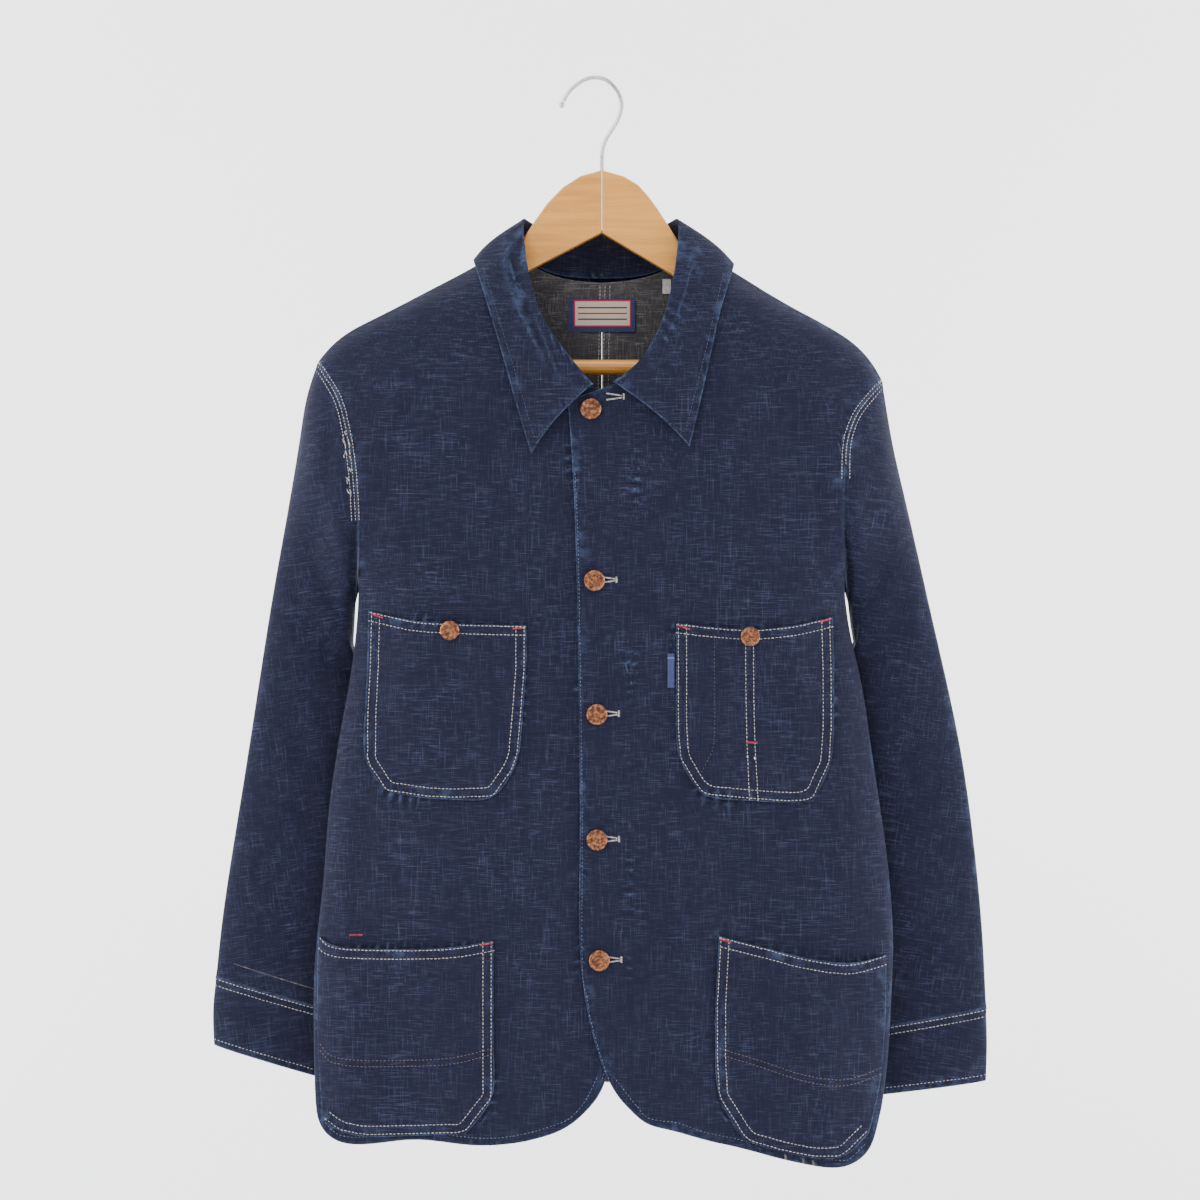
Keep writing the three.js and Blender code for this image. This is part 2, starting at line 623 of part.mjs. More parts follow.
function collar() {
  const count = collarStations.length;
  const ridges = collarStations.flatMap((station, i) => (station.ridge ? [i] : []));
  const behind = (i) => i > ridges[0] + 0.5 && i < ridges[1] - 0.5;
  const lines = { seam: [], fold: [], edge: [] };
  collarStations.forEach((station, i) => {
    const depth = behind(i) ? backY : frontY;
    const [seamX, seamZ] = station.seam;
    const seamDepth = station.ridge ? 0 : depth(seamX, seamZ - 3);
    lines.seam.push(new THREE.Vector3(seamX, seamDepth, seamZ + clothWall + seamGap));
    const [foldX, foldOff, foldZ] = station.fold;
    lines.fold.push(new THREE.Vector3(foldX, seamDepth + foldOff, foldZ));
    const [edgeX, edgeOff, edgeZ] = station.edge;
    const edgeDepth = depth(edgeX, edgeZ) + Math.sign(edgeOff) * collarClear + edgeOff * edgeShare;
    lines.edge.push(new THREE.Vector3(edgeX, station.ridge ? 0 : edgeDepth, edgeZ + (station.ridge ? 2 : 0)));
  });
  const [seams, folds, edges] = [lines.seam, lines.fold, lines.edge].map(smoothCurve);
  const besideRidges = ridges.flatMap((i) => [i - 0.25, i + 0.25]);
  const evenly = range((count - 1) * 2).map((t) => t * (count - 1));
  const along = [...evenly, ...besideRidges].sort((a, b) => a - b);
  const columns = along.map((station) => {
    const t = station / (count - 1);
    const seam = seams.getPoint(t);
    const fold = folds.getPoint(t);
    const edge = edges.getPoint(t);
    const out = edge.clone().sub(seam).setZ(0).normalize();
    const crest = fold.clone();
    const standHeight = Math.max(fold.z - collarRoll, lerp(seam.z, fold.z, 0.6));
    const standTop = fold.clone().addScaledVector(out, -collarRoll / 2).setZ(standHeight);
    const leafTop = fold.clone().addScaledVector(out, collarRoll * 0.6).setZ(fold.z - collarRoll / 2);
    const middle = seam.clone().lerp(standTop, 0.5);
    const leaf = leafSteps.map((s) => {
      const point = leafTop.clone().lerp(edge, s);
      point.addScaledVector(out, collarFull * Math.sin(Math.PI * s));
      if (Math.abs(point.y) < chestDepthBack * 0.8 && Math.abs(point.x - middleX) > ridgeX) {
        point.z = Math.max(point.z, shoulderTop(point.x, point.y) + collarClear);
      } else if (point.z < ridgeZ(point.x) + 2 && behind(station)) {
        point.y = Math.max(point.y, backY(point.x, point.z) + collarClear);
      } else if (point.z < ridgeZ(point.x) + 2) {
        point.y = Math.min(point.y, frontY(point.x, point.z) - collarClear);
      }
      return point;
    });
    return [seam, middle, standTop, crest, leafTop, ...leaf];
  });
  const rows = columns[0].map((_, r) => columns.map((column) => column[r]));
  return wall(rows, { flip: true });
}
add('collar', collar(), colours.denim);

// A patch that lies on a panel: its points are the panel's, moved out by the gap and its own thickness
function patch(outlineOf, depth, columns, rows, thickness = clothWall) {
  const { top, right, bottom, left, puff = 0, crowd = 0 } = outlineOf;
  const lines = [top, bottom, left, right].map(curveThrough);
  const evenly = range(columns).map((t) => (crowd < 0 ? t ** patchCrowd : t));
  const across = crowd > 0 ? towardsEdge(columns, patchCrowd) : evenly;
  const down = range(rows);
  const flat = fill(across.map(lines[0]), across.map(lines[1]), down.map(lines[2]), down.map(lines[3]));
  const step = 2;
  const grid = flat.map((row, r) => row.map(([x, z], c) => {
    const slopeX = (depth(x + step, z) - depth(x - step, z)) / (2 * step);
    const slopeZ = (depth(x, z + step) - depth(x, z - step)) / (2 * step);
    const normal = new THREE.Vector3(slopeX, -1, slopeZ).normalize();
    const lift = puff * Math.sin((Math.PI * c) / columns) * (1 - r / rows) ** 0.7;
    return new THREE.Vector3(x, depth(x, z), z).addScaledVector(normal, patchGap + thickness + lift);
  }));
  return wall(grid, { thickness });
}

for (const [name, pocket] of Object.entries(pockets)) {
  const depth = name.endsWith('left') ? underFrontY : frontY;
  add(name, patch(pocket, depth, pocketColumns, pocketRows), colours.denim);
}

const rectangle = (x0, x1, z0, z1) => ({
  top: [[x0, z1], [(x0 + x1) / 2, z1], [x1, z1]],
  bottom: [[x0, z0], [(x0 + x1) / 2, z0], [x1, z0]],
  left: [[x0, z1], [x0, (z0 + z1) / 2], [x0, z0]],
  right: [[x1, z1], [x1, (z0 + z1) / 2], [x1, z0]],
});
// The labels inside the neck lie on the reverse of the back
const backLiningY = (x, z) => backY(x, z) - clothWall;
add('neck_label', patch(rectangle(-24, 32, -208, -180), backLiningY, 6, 3, 0.8), colours.label);
add('size_label', patch(rectangle(55, 62, -176, -164), backLiningY, 2, 2, 0.6), colours.sizeLabel);
add('pocket_tab', patch(rectangle(58, 63.6, -505, -477), frontY, 2, 3, 0.8), colours.tab);

// Buttons: a domed head on a short foot, turned to face forward
function button(name, radius, x, y, z) {
  const foot = [[0, 0], [3, 0], [3, 1.2]];
  const dome = [[radius - 0.6, 1.2], [radius, 1.9], [radius - 0.7, 3], [radius * 0.55, 3.9], [0, 4.2]];
  const profile = [...foot, ...dome].map(([r, h]) => new THREE.Vector2(r, h));
  const geometry = new THREE.LatheGeometry(profile, 16);
  const mesh = add(name, geometry, colours.copper, { roughness: 0.35, metalness: 1 });
  mesh.rotation.x = Math.PI;
  mesh.position.set(x, y, z);
}
const buttonOff = 0.6;
frontButtons.forEach(({ x, z }, i) => {
  button(`front_button_${i + 1}`, buttonRadius, x, frontY(x, z) - buttonOff, z);
});
// A pocket's button stands off its puffed mouth
const onPocket = patchGap + clothWall + 2.4;
for (const [side, x, z] of [['left', -121, -458], ['right', 126, -463]]) {
  button(`pocket_button_${side}`, pocketButtonRadius, x, frontY(x, z) - onPocket, z);
}

// Hanger: two wooden arms glued at the middle, a trouser bar between their ends and a wire hook
for (const side of ['left', 'right']) {
  const sign = side === 'left' ? -1 : 1;
  const half = seamGap / 2;
  const place = ([x, z]) => new THREE.Vector2(x === middleX ? x + sign * half : x, z);
  const shape = new THREE.Shape([...woodTop[side], ...woodUnder[side]].map(place));
  const geometry = new THREE.ExtrudeGeometry(shape, {
    depth: woodThickness - 2 * woodEdge,
    bevelEnabled: true,
    bevelThickness: woodEdge,
    bevelSize: woodEdge,
    bevelOffset: -woodEdge,
    bevelSegments: 2,
  });
  const arm = add(`hanger_arm_${side}`, geometry, colours.wood, { roughness: 0.45 });
  arm.rotation.x = Math.PI / 2;
  arm.position.y = woodThickness / 2 - woodEdge;
}
const barFrom = -182.7;
const barTo = 184.7;
const barShape = new THREE.CylinderGeometry(barRadius, barRadius, barTo - barFrom, 16);
const bar = add('hanger_bar', barShape, colours.wood, { roughness: 0.45 });
bar.rotation.z = Math.PI / 2;
bar.position.set((barFrom + barTo) / 2, 0, barZ);

const route = smoothCurve(inSeamPlane(hookRoute));
const wireSection = new THREE.Shape();
wireSection.absarc(0, 0, wireRadius, 0, Math.PI * 2);
const wirePath = { steps: wireSteps, curveSegments: 4, extrudePath: route };
const wire = new THREE.ExtrudeGeometry(wireSection, wirePath);
const steel = { roughness: 0.3, metalness: 1 };
add('hanger_hook', wire, colours.wire, steel);
const ball = add('hook_ball', new THREE.SphereGeometry(hookBallRadius, 12, 8), colours.wire, steel);
ball.position.set(hookRoute[0][0] - 1.2, 0, hookRoute[0][1] - hookBallRadius - 0.4);

const group = new THREE.Group();
group.add(...meshes);

export default group;
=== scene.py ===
import math
import random

import bmesh
import bpy
import numpy as np
from mathutils import Matrix, Vector
from mathutils.bvhtree import BVHTree
from mathutils.kdtree import KDTree


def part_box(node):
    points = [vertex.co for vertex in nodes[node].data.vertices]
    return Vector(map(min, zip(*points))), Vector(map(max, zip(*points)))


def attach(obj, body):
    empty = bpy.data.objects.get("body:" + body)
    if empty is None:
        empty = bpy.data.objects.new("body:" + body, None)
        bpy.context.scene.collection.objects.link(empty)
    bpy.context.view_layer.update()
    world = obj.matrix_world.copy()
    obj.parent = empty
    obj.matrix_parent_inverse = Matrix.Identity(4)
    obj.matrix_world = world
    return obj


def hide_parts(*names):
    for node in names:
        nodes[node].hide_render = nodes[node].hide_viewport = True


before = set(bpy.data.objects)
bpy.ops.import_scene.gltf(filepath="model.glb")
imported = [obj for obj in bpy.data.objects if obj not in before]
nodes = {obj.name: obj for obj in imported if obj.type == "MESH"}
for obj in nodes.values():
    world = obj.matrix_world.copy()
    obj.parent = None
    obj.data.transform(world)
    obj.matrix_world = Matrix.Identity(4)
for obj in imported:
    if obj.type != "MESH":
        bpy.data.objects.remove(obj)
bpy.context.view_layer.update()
mm = 0.001
random.seed(11)
rng = np.random.default_rng(11)

# measures of the jacket, in mm, x to the right and z up, origin at the hook's crest
middleX = 4
underarmZ = -426
outline = {
    "left": {
        "frontEdge": [(37, -269), (32, -325), (29, -430), (27, -599), (27, -731), (22, -759), (18, -783),
                      (11, -810), (6, -828)],
        "hem": [(6, -836), (-4, -848), (-17, -863), (-32, -870), (-64, -879), (-96, -882), (-149, -877),
                (-194, -882),
                (-216, -880), (-229, -869), (-232, -857), (-234, -830)],
        "neck": [(37, -269), (16, -262), (-4, -259), (-29, -248), (-49, -223), (-64, -189), (-72, -158),
                 (-74, -139)],
        "shoulder": [(-74, -139), (-102, -156), (-135, -173), (-175, -194), (-210, -212), (-226, -227),
                     (-232, -235)],
        "armhole": [(-232, -235), (-221, -251), (-212, -267), (-206, -288), (-201, -316), (-198, -350),
                    (-197, -388), (-198, -426)],
        "side": [(-198, -426), (-202, -478), (-208, -513), (-216, -558), (-223, -608), (-227, -668),
                 (-234, -730), (-235, -780),
                 (-234, -830)],
        "sleeveOuter": [(-232, -235), (-241, -256), (-245, -284), (-256, -350), (-271, -433),
                        (-292, -566), (-313, -699), (-318, -747)],
        "sleeveInner": [(-198, -426), (-201, -476), (-186, -516), (-162, -575), (-156, -645),
                        (-168, -720), (-197, -784)],
        "cuffOuter": [(-318, -747), (-321, -775), (-320, -804)],
        "cuffInner": [(-197, -784), (-199, -812), (-201, -841)],
    },
    "right": {
        "frontEdge": [(-24, -269), (-20, -325), (-17, -400), (-14, -599), (-14, -731), (-10, -759),
                      (-6, -783), (2, -810), (8, -828)],
        "hem": [(13, -837), (27, -852), (40, -865), (66, -869), (85, -876), (119, -884), (152, -893),
                (202, -901), (215, -896),
                (226, -886), (232, -866), (237, -847)],
        "neck": [(-24, -269), (-6, -262), (12, -257), (37, -246), (57, -221), (71, -188), (79, -159),
                 (81, -142)],
        "shoulder": [(81, -142), (111, -158), (152, -184), (188, -203), (215, -220), (229, -236),
                     (237, -250)],
        "armhole": [(237, -250), (227, -261), (216, -274), (209, -287), (204, -305), (203, -333),
                    (203, -367), (204, -400), (206, -427)],
        "side": [(206, -427), (210, -461), (220, -500), (228, -558), (237, -617), (242, -657),
                 (246, -719), (244, -760),
                 (240, -828), (237, -847)],
        "sleeveOuter": [(237, -250), (241, -267), (243, -290), (257, -350), (276, -433), (305, -566),
                        (321, -699), (325, -773)],
        "sleeveInner": [(206, -427), (209, -476), (194, -516), (170, -575), (164, -645), (176, -720),
                        (198, -797)],
        "cuffOuter": [(325, -773), (326, -805), (325, -834)],
        "cuffInner": [(198, -797), (199, -825), (200, -851)],
    },
}
# pocket outlines: the mouth from left to right, then the sides and foot,
# from the mouth's left end round to its right end
pockets = {
    "chest_pocket_left": {
        "mouth": [(-188, -442), (-152, -450), (-126, -452), (-100, -453), (-58, -454)],
        "round": [(-188, -442), (-189, -489), (-191, -528), (-191, -567), (-174, -591), (-141, -596),
                  (-119, -597), (-85, -596),
                  (-69, -574), (-64, -561), (-61, -528), (-58, -489), (-58, -454)],
    },
    "chest_pocket_right": {
        "mouth": [(65, -452), (92, -455), (118, -457), (134, -457), (163, -454), (194, -447)],
        "round": [(65, -452), (65, -491), (65, -538), (67, -563), (78, -582), (87, -594), (128, -598),
                  (157, -600), (178, -599),
                  (193, -567), (195, -538), (195, -491), (194, -447)],
    },
    "lower_pocket_left": {
        "mouth": [(-229, -711), (-218, -718), (-186, -720), (-124, -719), (-85, -713)],
        "round": [(-226, -862), (-213, -871), (-192, -875), (-150, -874), (-108, -872), (-85, -842),
                  (-85, -800), (-85, -760), (-85, -713)],
    },
    "lower_pocket_right": {
        "mouth": [(100, -709), (139, -719), (165, -726), (192, -731), (211, -732), (238, -726)],
        "round": [(100, -709), (97, -765), (97, -811), (99, -842), (122, -878), (152, -887), (178, -892),
                  (202, -892), (224, -872)],
    },
}


# small helpers
def smooth(t):
    t = np.clip(t, 0, 1)
    return t * t * (3 - 2 * t)


def along(points, step=2.0):
    # evenly spaced points on a soft curve through the given ones, with the distance run so far
    p = np.array(points, float)
    padded = np.vstack([2 * p[0] - p[1], p, 2 * p[-1] - p[-2]])
    fine = []
    for i in range(len(p) - 1):
        a, b, c, d = padded[i:i + 4]
        for t in np.linspace(0, 1, 12, endpoint=False):
            curve = (2 * b) + (c - a) * t + (2 * a - 5 * b + 4 * c - d) * t ** 2
            fine.append(0.5 * (curve + (3 * b - a - 3 * c + d) * t ** 3))
    fine = np.array(fine + [p[-1]])
    return evenly(fine, step)


def evenly(line, step):
    line = np.array(line, float)
    run = np.concatenate([[0], np.cumsum(np.linalg.norm(np.diff(line, axis=0), axis=1))])
    count = max(2, int(round(run[-1] / step)) + 1)
    at = np.linspace(0, run[-1], count)
    return np.stack([np.interp(at, run, line[:, k]) for k in range(line.shape[1])], 1), at


def shifted(points, distance):
    # the same line moved sideways, to its left when distance is above 0, with mitred corners
    p = np.array(points, float)
    d = np.diff(p, axis=0)
    d /= np.linalg.norm(d, axis=1)[:, None]
    n = np.stack([-d[:, 1], d[:, 0]], 1)
    corner = np.vstack([n[:1], (n[1:] + n[:-1]) / (1 + (n[1:] * n[:-1]).sum(1))[:, None], n[-1:]])
    return p + distance * corner


def tableAt(rows, z):
    # x of an outline at each height z
    rows = sorted((b, a) for a, b in rows)
    return np.interp(z, [r[0] for r in rows], [r[1] for r in rows])


def seamTree(lines):
    points, runs = [], []
    for line in lines:
        p, run = along(line)
        points.append(p)
        runs.append(run + 1000 * len(runs))
    points, runs = np.vstack(points), np.concatenate(runs)
    tree = KDTree(len(points))
    for i, (x, z) in enumerate(points):
        tree.insert((x, 0, z), i)
    tree.balance()
    return tree, runs


def nearSeam(index, x, z):
    tree, runs = index
    distance, run = np.empty(len(x)), np.empty(len(x))
    for i in range(len(x)):
        _, k, distance[i] = tree.find((x[i], 0, z[i]))
        run[i] = runs[k]
    return distance, run


# how the cloth moves away from the plain solid, as heights over its surface
# creases: start x, z, end x, z, half width, height (above 0 a ridge, below 0 a trough)
frontCreases = [
    (70, -318, 20, -352, 10, 1.6), (20, -352, -10, -392, 9, 1.2), (52, -352, -2, -402, 8, -1.5),
    (-92, -300, -66, -372, 9, -1.1), (-40, -345, -46, -438, 8, 0.8), (-118, -330, -96, -420, 12, 0.9),
    (128, -300, 110, -395, 13, 1.0), (160, -290, 186, -372, 12, -1.2), (-160, -285, -188, -366, 12, -1.2),
    (-120, -492, -98, -556, 9, -1.7), (-96, -470, -84, -520, 7, 0.8), (-150, -470, -158, -540, 10, 0.8),
    (-98, -562, -88, -588, 5, 0.9), (-112, -566, -106, -592, 5, -0.8), (-134, -570, -136, -593, 5, 0.7),
    (88, -470, 84, -540, 7, -1.0), (104, -468, 108, -560, 6, 0.9), (150, -480, 146, -560, 8, -1.1),
    (170, -500, 168, -580, 8, 0.9), (-60, -610, -66, -700, 14, -1.2), (-150, -610, -138, -690, 16, 1.0),
    (-190, -610, -198, -700, 10, -1.2), (56, -560, 50, -700, 13, -1.2), (84, -610, 86, -700, 12, 1.1),
    (140, -612, 150, -700, 15, -1.0), (196, -600, 206, -690, 12, 1.1), (-40, -690, -52, -800, 13, 1.2),
    (60, -700, 66, -820, 14, 1.4), (-170, -745, -160, -820, 14, -1.4), (-120, -750, -128, -850, 12, 1.0),
    (-200, -760, -206, -850, 10, 1.0), (140, -750, 134, -850, 12, -1.3), (176, -760, 184, -860, 13, 1.3),
    (212, -770, 206, -860, 10, -1.1), (-12, -440, -10, -520, 5, 0.5), (6, -560, 4, -700, 5, -0.5),
    (24, -300, 26, -380, 8, 0.7), (34, -440, 40, -560, 12, 0.8), (-196, -440, -200, -560, 6, 1.0),
    (200, -450, 206, -560, 7, 1.0),
    # the facing's edge and the inner pocket's outline, pressed through from behind
    (57, -322, 55, -400, 2.4, 0.55), (55, -400, 43, -700, 2.2, 0.5), (210, -526, 211, -686, 2.0, 0.5),
    (67, -685, 211, -686, 2.0, 0.45),
]
backCreases = [
    (-60, -240, -96, -330, 16, 1.6), (66, -250, 104, -340, 15, 1.5), (-150, -270, -186, -352, 12, -1.5),
    (150, -280, 190, -362, 12, -1.4), (-120, -380, -176, -452, 13, 1.5), (118, -390, 178, -448, 14, 1.6),
    (-90, -430, -110, -560, 16, -1.3), (96, -420, 120, -570, 15, -1.4), (-40, -500, -46, -690, 14, 1.2),
    (44, -480, 52, -660, 15, 1.2), (-160, -560, -176, -700, 14, 1.3), (160, -550, 184, -720, 14, 1.3),
    (-110, -680, -120, -820, 14, -1.4), (110, -690, 128, -826, 15, -1.4), (-70, -740, -66, -826, 10, 1.2),
    (80, -750, 74, -828, 11, 1.1), (0, -330, -6, -470, 10, -0.8), (20, -560, 14, -790, 10, 0.8),
    (-200, -600, -206, -800, 9, -1.0), (206, -620, 214, -800, 9, -1.0),
]
# on a sleeve x is measured from its outer edge towards the body
sleeveCreases = {
    ("left", "front"): [
        (24, -262, 34, -345, 8, -1.8), (12, -300, 16, -385, 7, 1.1), (40, -360, 58, -400, 6, 1.1),
        (30, -400, 62, -452, 8, -1.6),
        (10, -430, 26, -470, 7, 0.9), (48, -440, 76, -520, 8, 1.4), (16, -500, 44, -560, 9, -1.1),
        (60, -520, 92, -600, 9, -1.5),
        (22, -590, 60, -640, 10, 1.0), (70, -600, 98, -690, 9, 1.3), (30, -660, 74, -712, 10, -1.1),
        (12, -700, 40, -742, 8, 0.8),
        (84, -690, 104, -760, 8, -1.1),
    ],
    ("right", "front"): [
        (26, -282, 40, -372, 9, -1.7), (10, -310, 14, -390, 7, 1.1), (44, -330, 62, -396, 7, 1.2),
        (34, -410, 66, -460, 8, -1.5),
        (12, -440, 30, -500, 8, 1.0), (56, -450, 86, -540, 9, 1.4), (20, -520, 54, -572, 9, -1.2),
        (70, -540, 104, -640, 9, -1.5),
        (26, -610, 64, -650, 9, 1.1), (82, -630, 112, -720, 9, 1.2), (24, -680, 70, -736, 10, -1.2),
        (90, -720, 112, -780, 8, -1.0),
        (14, -728, 34, -764, 8, 0.9),
    ],
    ("left", "back"): [
        (20, -300, 50, -370, 10, 1.5), (36, -390, 74, -440, 10, -1.6), (16, -450, 60, -500, 10, 1.5),
        (60, -500, 100, -540, 10, 1.3),
        (24, -540, 80, -590, 10, -1.6), (60, -620, 104, -650, 9, 1.3), (14, -640, 56, -690, 11, 1.2),
        (70, -700, 106, -740, 9, -1.1),
    ],
    ("right", "back"): [
        (18, -310, 52, -386, 10, 1.5), (40, -400, 80, -450, 10, -1.6), (14, -460, 58, -516, 10, 1.4),
        (64, -520, 108, -560, 10, 1.3),
        (22, -560, 84, -604, 10, -1.5), (66, -640, 110, -676, 9, 1.2), (16, -660, 62, -704, 11, 1.3),
        (74, -720, 112, -756, 9, -1.1),
    ],
}
ripples = {"size": [63, 41, 29, 17], "height": [0.42, 0.26, 0.2, 0.1], "waves": 5}
pucker = {"pitch": 8.5, "reach": 5.5, "height": 0.36}


def creaseHeight(rows, x, z):
    total = np.zeros(len(x))
    for x0, z0, x1, z1, width, height in rows:
        dx, dz = x1 - x0, z1 - z0
        t = np.clip(((x - x0) * dx + (z - z0) * dz) / (dx * dx + dz * dz), 0, 1)
        away = np.hypot(x - x0 - t * dx, z - z0 - t * dz) / (width * (0.75 + 0.5 * t))
        total += height * np.exp(-away ** 2)
    return total


rippleTable = [(rng.uniform(0, math.tau), rng.uniform(0, math.tau), size * rng.uniform(0.8, 1.25), height)
               for size, height in zip(ripples["size"], ripples["height"]) for _ in range(ripples["waves"])]


def rippleHeight(x, z):
    # a few crossing waves bent by each other, so that no row of them repeats
    total = np.zeros(len(x))
    bent = 7 * np.sin(x / 37 + 1.3) + 9 * np.sin(z / 53 + 0.4)
    for turn, phase, size, height in rippleTable:
        across = (x + bent) * math.cos(turn) + (z - bent) * math.sin(turn) * 0.7
        total += height / math.sqrt(ripples["waves"]) * np.sin(math.tau * across / size + phase)
    return total


def puckerHeight(distance, run):
    wave = np.sin(math.tau * run / pucker["pitch"] + 2.2 * np.sin(run / 17.0) + 1.4 * np.sin(run / 41.0))
    reach = pucker["reach"] * (1 + 0.45 * np.sin(run / 11.3 + 0.7))
    strength = np.clip(0.5 + 0.5 * np.sin(run / 29.0) + 0.45 * np.sin(run / 12.7 + 2.0), 0.08, 1.3)
    return pucker["height"] * wave * np.exp(-(distance / reach) ** 2) * strength


frontSeams = seamTree([outline[s][k] for s in outline for k in ("armhole", "side", "frontEdge", "hem")]
                      + [p[k] for p in pockets.values() for k in ("mouth", "round")])
frontRims = seamTree([outline[s][k] for s in outline for k in ("armhole", "side", "shoulder")])
backSeams = seamTree([outline[s][k] for s in outline for k in ("armhole", "side")]
                     + [[(middleX, -167), (middleX, -500), (middleX, -834)],
                        [(-234, -830), (-80, -834), (middleX, -834), (80, -836), (237, -847)]])


def bodyHeight(x, z, isBack):
    distance, run = nearSeam(backSeams if isBack else frontSeams, x, z)
    rim, _ = nearSeam(frontRims, x, z)
    big = creaseHeight(backCreases if isBack else frontCreases, x, z) + rippleHeight(x + 400 * isBack, z)
    return big * smooth(rim / 26) + puckerHeight(distance, run) * smooth(rim / 3), distance, run


def foldsAt(side, z):
    # x of a sleeve's two folds at each height z, cuff and all
    lines = outline[side]
    return (tableAt(lines["sleeveOuter"] + lines["cuffOuter"][1:], z),
            tableAt(lines["sleeveInner"] + lines["cuffInner"][1:], z))


def sleeveHeight(side, x, z, isBack):
    outer, inner = foldsAt(side, z)
    share = np.clip((x - outer) / (inner - outer), 0, 1)
    lines = outline[side]
    seams = seamTree([lines["armhole"], [lines["sleeveOuter"][-1], lines["sleeveInner"][-1]],
                      [lines["cuffOuter"][-1], lines["cuffInner"][-1]]])
    distance, run = nearSeam(seams, x, z)
    rows = sleeveCreases[side, "back" if isBack else "front"]
    big = creaseHeight(rows, np.abs(x - outer), z) + rippleHeight(x + 200 + 400 * isBack, z)
    flat = (4 * share * (1 - share)) ** 0.6
    return big * flat * smooth(distance / 22) + puckerHeight(distance, run) * flat, distance, run


# node groups used by several materials
def group(name, inputs, outputs):
    tree = bpy.data.node_groups.new(name, "ShaderNodeTree")
    for kind, label in inputs:
        tree.interface.new_socket(label, in_out="INPUT", socket_type=f"NodeSocket{kind}")
    for kind, label in outputs:
        tree.interface.new_socket(label, in_out="OUTPUT", socket_type=f"NodeSocket{kind}")
    return tree, tree.nodes.new("NodeGroupInput"), tree.nodes.new("NodeGroupOutput")


def maths(tree, operation, a, b=None, clamp=False):
    node = tree.nodes.new("ShaderNodeMath")
    node.operation = operation
    node.use_clamp = clamp
    for i, value in enumerate((a, b)):
        if value is None:
            continue
        if isinstance(value, (int, float)):
            node.inputs[i].default_value = value
        else:
            tree.links.new(value, node.inputs[i])
    return node.outputs[0]


def noise(tree, vector, stretch, scale, detail=2.0, rough=0.5, turn=(0, 0, 0)):
    mapping = tree.nodes.new("ShaderNodeMapping")
    mapping.inputs["Scale"].default_value = stretch
    mapping.inputs["Rotation"].default_value = turn
    tree.links.new(vector, mapping.inputs["Vector"])
    texture = tree.nodes.new("ShaderNodeTexNoise")
    texture.inputs["Scale"].default_value = scale
    texture.inputs["Detail"].default_value = detail
    texture.inputs["Roughness"].default_value = rough
    tree.links.new(mapping.outputs[0], texture.inputs["Vector"])
    return texture.outputs[0]


def spread(tree, value, low, high, toLow=0.0, toHigh=1.0):
    node = tree.nodes.new("ShaderNodeMapRange")
    for name, number in (("From Min", low), ("From Max", high), ("To Min", toLow), ("To Max", toHigh)):
        node.inputs[name].default_value = number
    tree.links.new(value, node.inputs["Value"])
    return node.outputs[0]


def mixed(tree, factor, a, b, blend="MIX"):
    node = tree.nodes.new("ShaderNodeMix")
    node.data_type = "RGBA"
    node.blend_type = blend
    for socket, value in ((node.inputs[0], factor), (node.inputs[6], a), (node.inputs[7], b)):
        if isinstance(value, (int, float, tuple)):
            socket.default_value = value
        else:
            tree.links.new(value, socket)
    return node.outputs[2]


def makeWeaveGroup():
    inputs = [("Vector", "Vector"), ("Color", "Warp"), ("Color", "Weft"), ("Float", "Slub")]
    tree, start, end = group("twillWeave", inputs, [("Color", "Color"), ("Float", "Height")])
    vector = start.outputs["Vector"]
    warp = noise(tree, vector, (1150, 1150, 42), 1, 2.5, 0.6)
    weft = noise(tree, vector, (70, 70, 1250), 1, 2.5, 0.6)
    cloud = noise(tree, vector, (1, 1, 0.75), 34, 5, 0.62)
    patchy = noise(tree, vector, (1, 1, 0.6), 9, 3, 0.5)
    twill = tree.nodes.new("ShaderNodeTexWave")
    twill.wave_type = "BANDS"
    twill.bands_direction = "DIAGONAL"
    twill.inputs["Scale"].default_value = 520
    twill.inputs["Distortion"].default_value = 1.2
    twill.inputs["Detail Scale"].default_value = 3
    tree.links.new(vector, twill.inputs["Vector"])
    weftSlubs = spread(tree, weft, 0.52, 0.74, 0, 0.62)
    pale = maths(tree, "ADD", weftSlubs, spread(tree, warp, 0.54, 0.76, 0, 0.5))
    pale = maths(tree, "MULTIPLY", pale, spread(tree, cloud, 0.3, 0.66, 0.35, 1.45))
    pale = maths(tree, "MULTIPLY", pale, start.outputs["Slub"])
    pale = maths(tree, "ADD", pale, spread(tree, twill.outputs[1], 0.2, 0.9, 0, 0.16), clamp=True)
    thin = spread(tree, warp, 0.3, 0.55, 0.42, 0)
    ground = mixed(tree, thin, start.outputs["Warp"], (0.0036, 0.004, 0.0095, 1))
    shade = mixed(tree, spread(tree, patchy, 0.36, 0.66, 0.0, 0.3), ground, (0.0075, 0.008, 0.018, 1))
    tree.links.new(mixed(tree, pale, shade, start.outputs["Weft"]), end.inputs["Color"])
    threads = maths(tree, "MULTIPLY", weft, 0.6)
    height = maths(tree, "ADD", maths(tree, "MULTIPLY", twill.outputs[1], 0.5), threads)
    tree.links.new(maths(tree, "ADD", height, maths(tree, "MULTIPLY", warp, 0.6)), end.inputs["Height"])
    return tree


